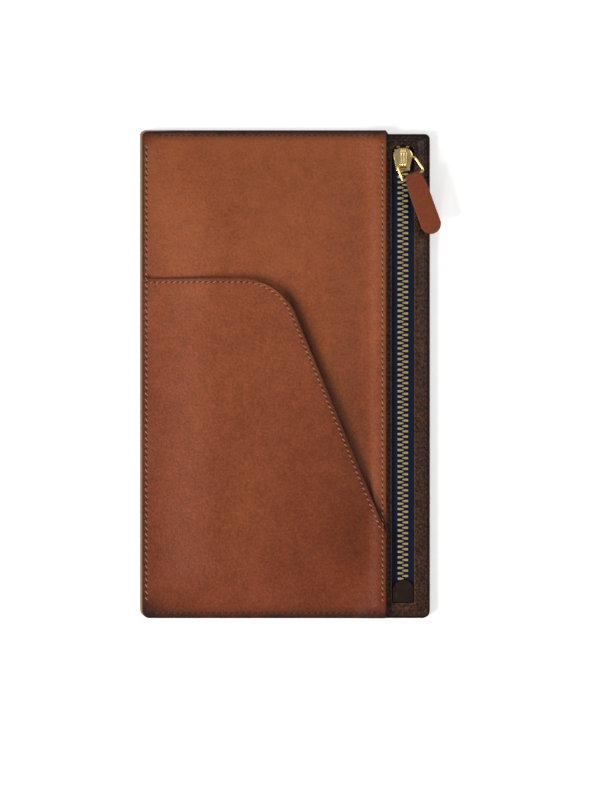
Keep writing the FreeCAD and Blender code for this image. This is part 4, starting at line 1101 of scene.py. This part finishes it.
# Die-cast metal plated and tumbled bright: soft edges and the sharpest shine on the case.
cast_brass = brass("polished_cast_brass_slider", "#f4dca0", "#cda764", 0.22, 0.1)
plates = [
    cut_sheet("plate", cast_brass, [slider_line(0)], level(5.0), domed, soft=0.2, grid=0.6),
    cut_sheet("plate", cast_brass, [slider_line(0)], level(SLIDER_LOW), 0.8, soft=0.25, grid=1.2),
]
for side in (-1, 1):
    for low in (2.5, 4.25):
        plates.append(cut_sheet("lip", cast_brass, [lip_line(side)], level(low), 0.85, soft=0.12, grid=0.6))
wedge = [(0, 0.6, 0.3), (0.8, 2.6, 0.3), (0.8, 5.0, 0.3), (-0.8, 5.0, 0.3), (-0.8, 2.6, 0.3)]
wedge_line = die_line([(ZIP_X + x, SLIDER_Y + y, r) for x, y, r in wedge], 0.6)
plates.append(cut_sheet("wedge", cast_brass, [wedge_line], level(2.5), 2.6, soft=0.15, grid=0.6))
slider = joined("slider_plates_cast", plates)
seat(slider, "slider_body", "slider")


# Slider crown: an arched bridge cast onto the top plate, which the ring passes under.
# Two grooves run along its top, and a short notch with a raised lip marks its lower end.

CROWN_HALF = 1.7


def swept(name, finish, route, section, widths=None):
    """A closed section (across, rise) carried along a route of (y, z) points in the upright plane."""
    route = np.array(route)
    on = np.gradient(route, axis=0)
    on = on / np.linalg.norm(on, axis=1)[:, None]
    places = []
    for n, ((y, z), (dy, dz)) in enumerate(zip(route, on)):
        wide = 1 if widths is None else widths[n]
        for across, rise in section:
            places.append((across * wide, y + dz * rise, z - dy * rise))
    count = len(section)
    faces = [tuple(range(count))[::-1], tuple(range(len(places) - count, len(places)))]
    for n in range(len(route) - 1):
        for k in range(count):
            a, b = n * count + k, n * count + (k + 1) % count
            faces.append((a, b, b + count, a + count))
    return new_mesh(name, places, faces, finish)


def smooth_route(corners, radius, step=0.25):
    """An open line in the upright plane with its corners rounded."""
    inner = [(y, z, radius) for y, z in corners[1:-1]]
    return row_line((*corners[0], 0), *inner, (*corners[-1], 0), step=step)


def move(piece, x, y, z, turn=0.0):
    """Puts a piece that was made about the origin in its place, in its mesh."""
    c, s = math.cos(turn), math.sin(turn)
    for v in piece.data.vertices:
        px, py, pz = v.co / MM
        v.co = Vector((c * px - s * py + x, s * px + c * py + y, pz + z)) * MM


arch = [(4.45, 0.1), (4.45, 1.7), (2.75, 4.15)]
bridge = smooth_route(arch + [(-y, z) for y, z in arch[::-1]], 1.4)
side = [(1.0, 0.0), (0.97, 0.3), (0.8, 0.44), (0.52, 0.46), (0.42, 0.14), (0.3, 0.12), (0.18, 0.44)]
profile = [(-a, rise) for a, rise in side] + [(0, 0.48)] + side[::-1]
section = [(a * CROWN_HALF, rise) for a, rise in profile]
section += [(a * CROWN_HALF, -0.45) for a, _ in profile[::-1] if abs(a) < 0.98]
shares = np.abs(bridge[:, 0]) / 4.45
taper = 1 - 0.42 * np.clip((shares - 0.55) / 0.45, 0, 1) ** 2
crown = swept("slider_crown_cast", cast_brass, bridge, section, taper)
lip_plan = oblong((-1.15, 1.15, -4.5, -4.08), 0.2, 0.2, 0.3)
lip = cut_sheet("lip", cast_brass, [lip_plan], level(2.1), 0.75, soft=0.18, grid=0.3)
crown = joined("slider_crown_cast", [crown, lip])
move(crown, ZIP_X, SLIDER_Y, SLIDER_HIGH - 0.05)
seat(crown, "slider_crown", "slider")


# Ring: brass wire bent into a stirrup that hangs in the crown and carries the pull. Its
# legs spread a little from the crown down to a straight bar.

RING = (54.083, 96.019, 8.6)
SWING = math.radians(28)


def bent_wire(name, finish, route, radius):
    """Round wire along a closed route of points in mm."""
    curve = bpy.data.curves.new(name, "CURVE")
    curve.dimensions = "3D"
    curve.bevel_depth = radius * MM
    curve.bevel_resolution = 3
    spline = curve.splines.new("POLY")
    spline.points.add(len(route) - 1)
    for point, place in zip(spline.points, route):
        point.co = (*[n * MM for n in place], 1)
    spline.use_cyclic_u = True
    holder = in_scene(name, curve)
    mesh = bpy.data.meshes.new_from_object(holder.evaluated_get(bpy.context.evaluated_depsgraph_get()))
    bpy.data.objects.remove(holder)
    mesh.materials.clear()
    mesh.materials.append(finish)
    mesh.shade_smooth()
    return in_scene(name, mesh)


ring_plan = die_line([(-4.4, 0, 1.8), (-5.3, -8, 1.0), (5.3, -8, 1.0), (4.4, 0, 1.8)], 0.5)
ring = bent_wire("pull_ring_wire", cast_brass, [(x, y, 0) for x, y in ring_plan], 0.5)
move(ring, *RING, SWING)
seat(ring, "pull_ring", "ring")


# Pull: a strip of the tan hide folded round the ring's bar, glued and stitched to itself.
# It is narrow at the fold and widens to a round end, with its cut edges dyed to match.

BAR = (57.839, 88.956, 8.6)
PULL_SWING = math.radians(20)
PULL_LONG, PULL_HALF, FOLD_HALF, PLY = 30.7, 4.6, 3.2, 0.8
FOLD_REACH, FOLD_ROUND = 3.3, 1.2


def pull_half(drop):
    """Half the pull's width at a distance below its fold."""
    wide = FOLD_HALF + (PULL_HALF - FOLD_HALF) * swell(drop, 0.5, 9.5)
    end = np.clip((drop - (PULL_LONG - PULL_HALF)) / PULL_HALF, 0, 1)
    return wide * np.sqrt(np.maximum(1 - end**2, 0.003))


def sag(drop):
    """The pull's own weight bends its free end down a little."""
    return -1.35 * swell(drop, 6, 32)


drops = np.concatenate((np.linspace(PULL_LONG, PULL_LONG - 4.4, 22), np.linspace(PULL_LONG - 5, 6.2, 22)))
angles = [math.radians(angle) for angle in np.linspace(-150, 150, 25)]
loop = [(FOLD_ROUND * math.cos(angle), FOLD_ROUND * math.sin(angle)) for angle in angles]
lower = [(FOLD_REACH - d, -PLY / 2 + float(sag(d))) for d in drops]
upper = [(FOLD_REACH - d, PLY / 2 + float(sag(d))) for d in drops[::-1]]
route = np.array([*lower, (-1.9, -0.46), (-1.35, -0.55), *loop, (-1.35, 0.55), (-1.9, 0.46), *upper])
widths = pull_half(FOLD_REACH - route[:, 0])
edge = np.array([-1, -0.985, -0.94, -0.85, -0.6, -0.3, 0, 0.3, 0.6, 0.85, 0.94, 0.985, 1])
lift = np.array([0.0, 0.22, 0.33, 0.375, 0.39, 0.39, 0.39, 0.39, 0.39, 0.375, 0.33, 0.22, 0.0])
section = [(a, -o) for a, o in zip(edge, lift)] + [(a, o) for a, o in zip(edge[-2:0:-1], lift[-2:0:-1])]
# The tan hide pared thin and edge-dyed: redder, more even, and glossier from handling.
pull_hide = tanned(
    "dyed_tan_pull_leather", "#7c3c22", "#692d16", "#2c140b", "#2c140b", mottle=0.08, gloss=0.46
)
pull = swept("pull_tab_leather", pull_hide, route, section, widths)
dark_edges = [0.75 if abs(a) > 0.96 else 0.0 for a, _ in section]
store_marks(pull, {"tone": 0.3, "burnish": np.tile(dark_edges, len(route))})
move(pull, *BAR, PULL_SWING)
seat(pull, "pull_tab", "pull")

c, s = math.cos(PULL_SWING), math.sin(PULL_SWING)
across = np.linspace(-1.9, 1.9, 9)
bar_line = np.array([(BAR[0] + c * x + s * 3.1, BAR[1] + s * x - c * 3.1) for x in across])
# Thread dyed with the leather it closes, so the bar shows by its relief more than its colour.
pull_thread = waxed_thread("waxed_pull_thread", "#5a2e1b", "#7f4c33")
fine = {"pitch": 1.25, "long": 1.1, "wide": 0.5, "slant": 12, "hole": 0.4}
bar_top = level(BAR[2] + PLY - 0.02)
sewn_row("pull_stitch", bar_line, bar_top, pull_thread, "tan_thread", **fine, body="pull")


# Floor, soft light and camera: a plain white sweep, one large soft lamp low on the left
# and a dim white room, with the camera straight above.

corners = [(-3000, -3000, -0.15), (3000, -3000, -0.15), (3000, 3000, -0.15), (-3000, 3000, -0.15)]
floor = new_mesh("floor", corners, [(0, 1, 2, 3)])
# Frosted acrylic lit from below: it reads as pure white, with only the faintest shadow.
paper, tree, shader, coords = new_finish("white_lit_acrylic_table")
grain = stretched(tree, spots(tree, coords, 1.5), 0.3, 0.7, 0.0, 1.0)
tree.links.new(blended(tree, grain, dye("#fbfbfb"), dye("#ffffff")), shader.inputs["Base Color"])
fix(shader, {"Roughness": 0.9, "Emission Color": dye("#ffffff"), "Emission Strength": 0.3})
floor.data.materials.append(paper)


def lamp(name, place, aim, size, power, colour="#ffffff"):
    """A square soft lamp at a place, aimed at a point, in metres."""
    light = bpy.data.lights.new(name, "AREA")
    light.size = size
    light.energy = power
    light.color = dye(colour)[:3]
    holder = in_scene(name, light)
    holder.location = place
    holder.rotation_euler = (Vector(aim) - Vector(place)).to_track_quat("-Z", "Y").to_euler()


lamp("window_light", (-0.95, -0.45, 0.62), (0, 0, 0), 0.55, 15.5, "#fffaf4")
lamp("right_fill", (0.9, 0.5, 0.75), (0, 0, 0), 0.6, 5)
world = bpy.data.worlds.new("white_room")
world.use_nodes = True
sky = world.node_tree
upward = wire(sky, "ShaderNodeSeparateXYZ", {0: wire(sky, "ShaderNodeTexCoord").outputs["Generated"]})
walls = stretched(sky, upward.outputs[2], 0.25, 0.85, 0.5, 0.36)
sky.links.new(walls, sky.nodes["Background"].inputs["Strength"])
sky.nodes["Background"].inputs["Color"].default_value = dye("#ffffff")
bpy.context.scene.world = world
bpy.context.scene.view_settings.view_transform = "Standard"

camera = bpy.data.cameras.new("overhead_camera")
camera.lens = 200
camera.sensor_width = 36
camera.clip_end = 20
holder = in_scene("overhead_camera", camera)
holder.location = (0.00686, -0.0117, 2.006)
bpy.context.scene.camera = holder
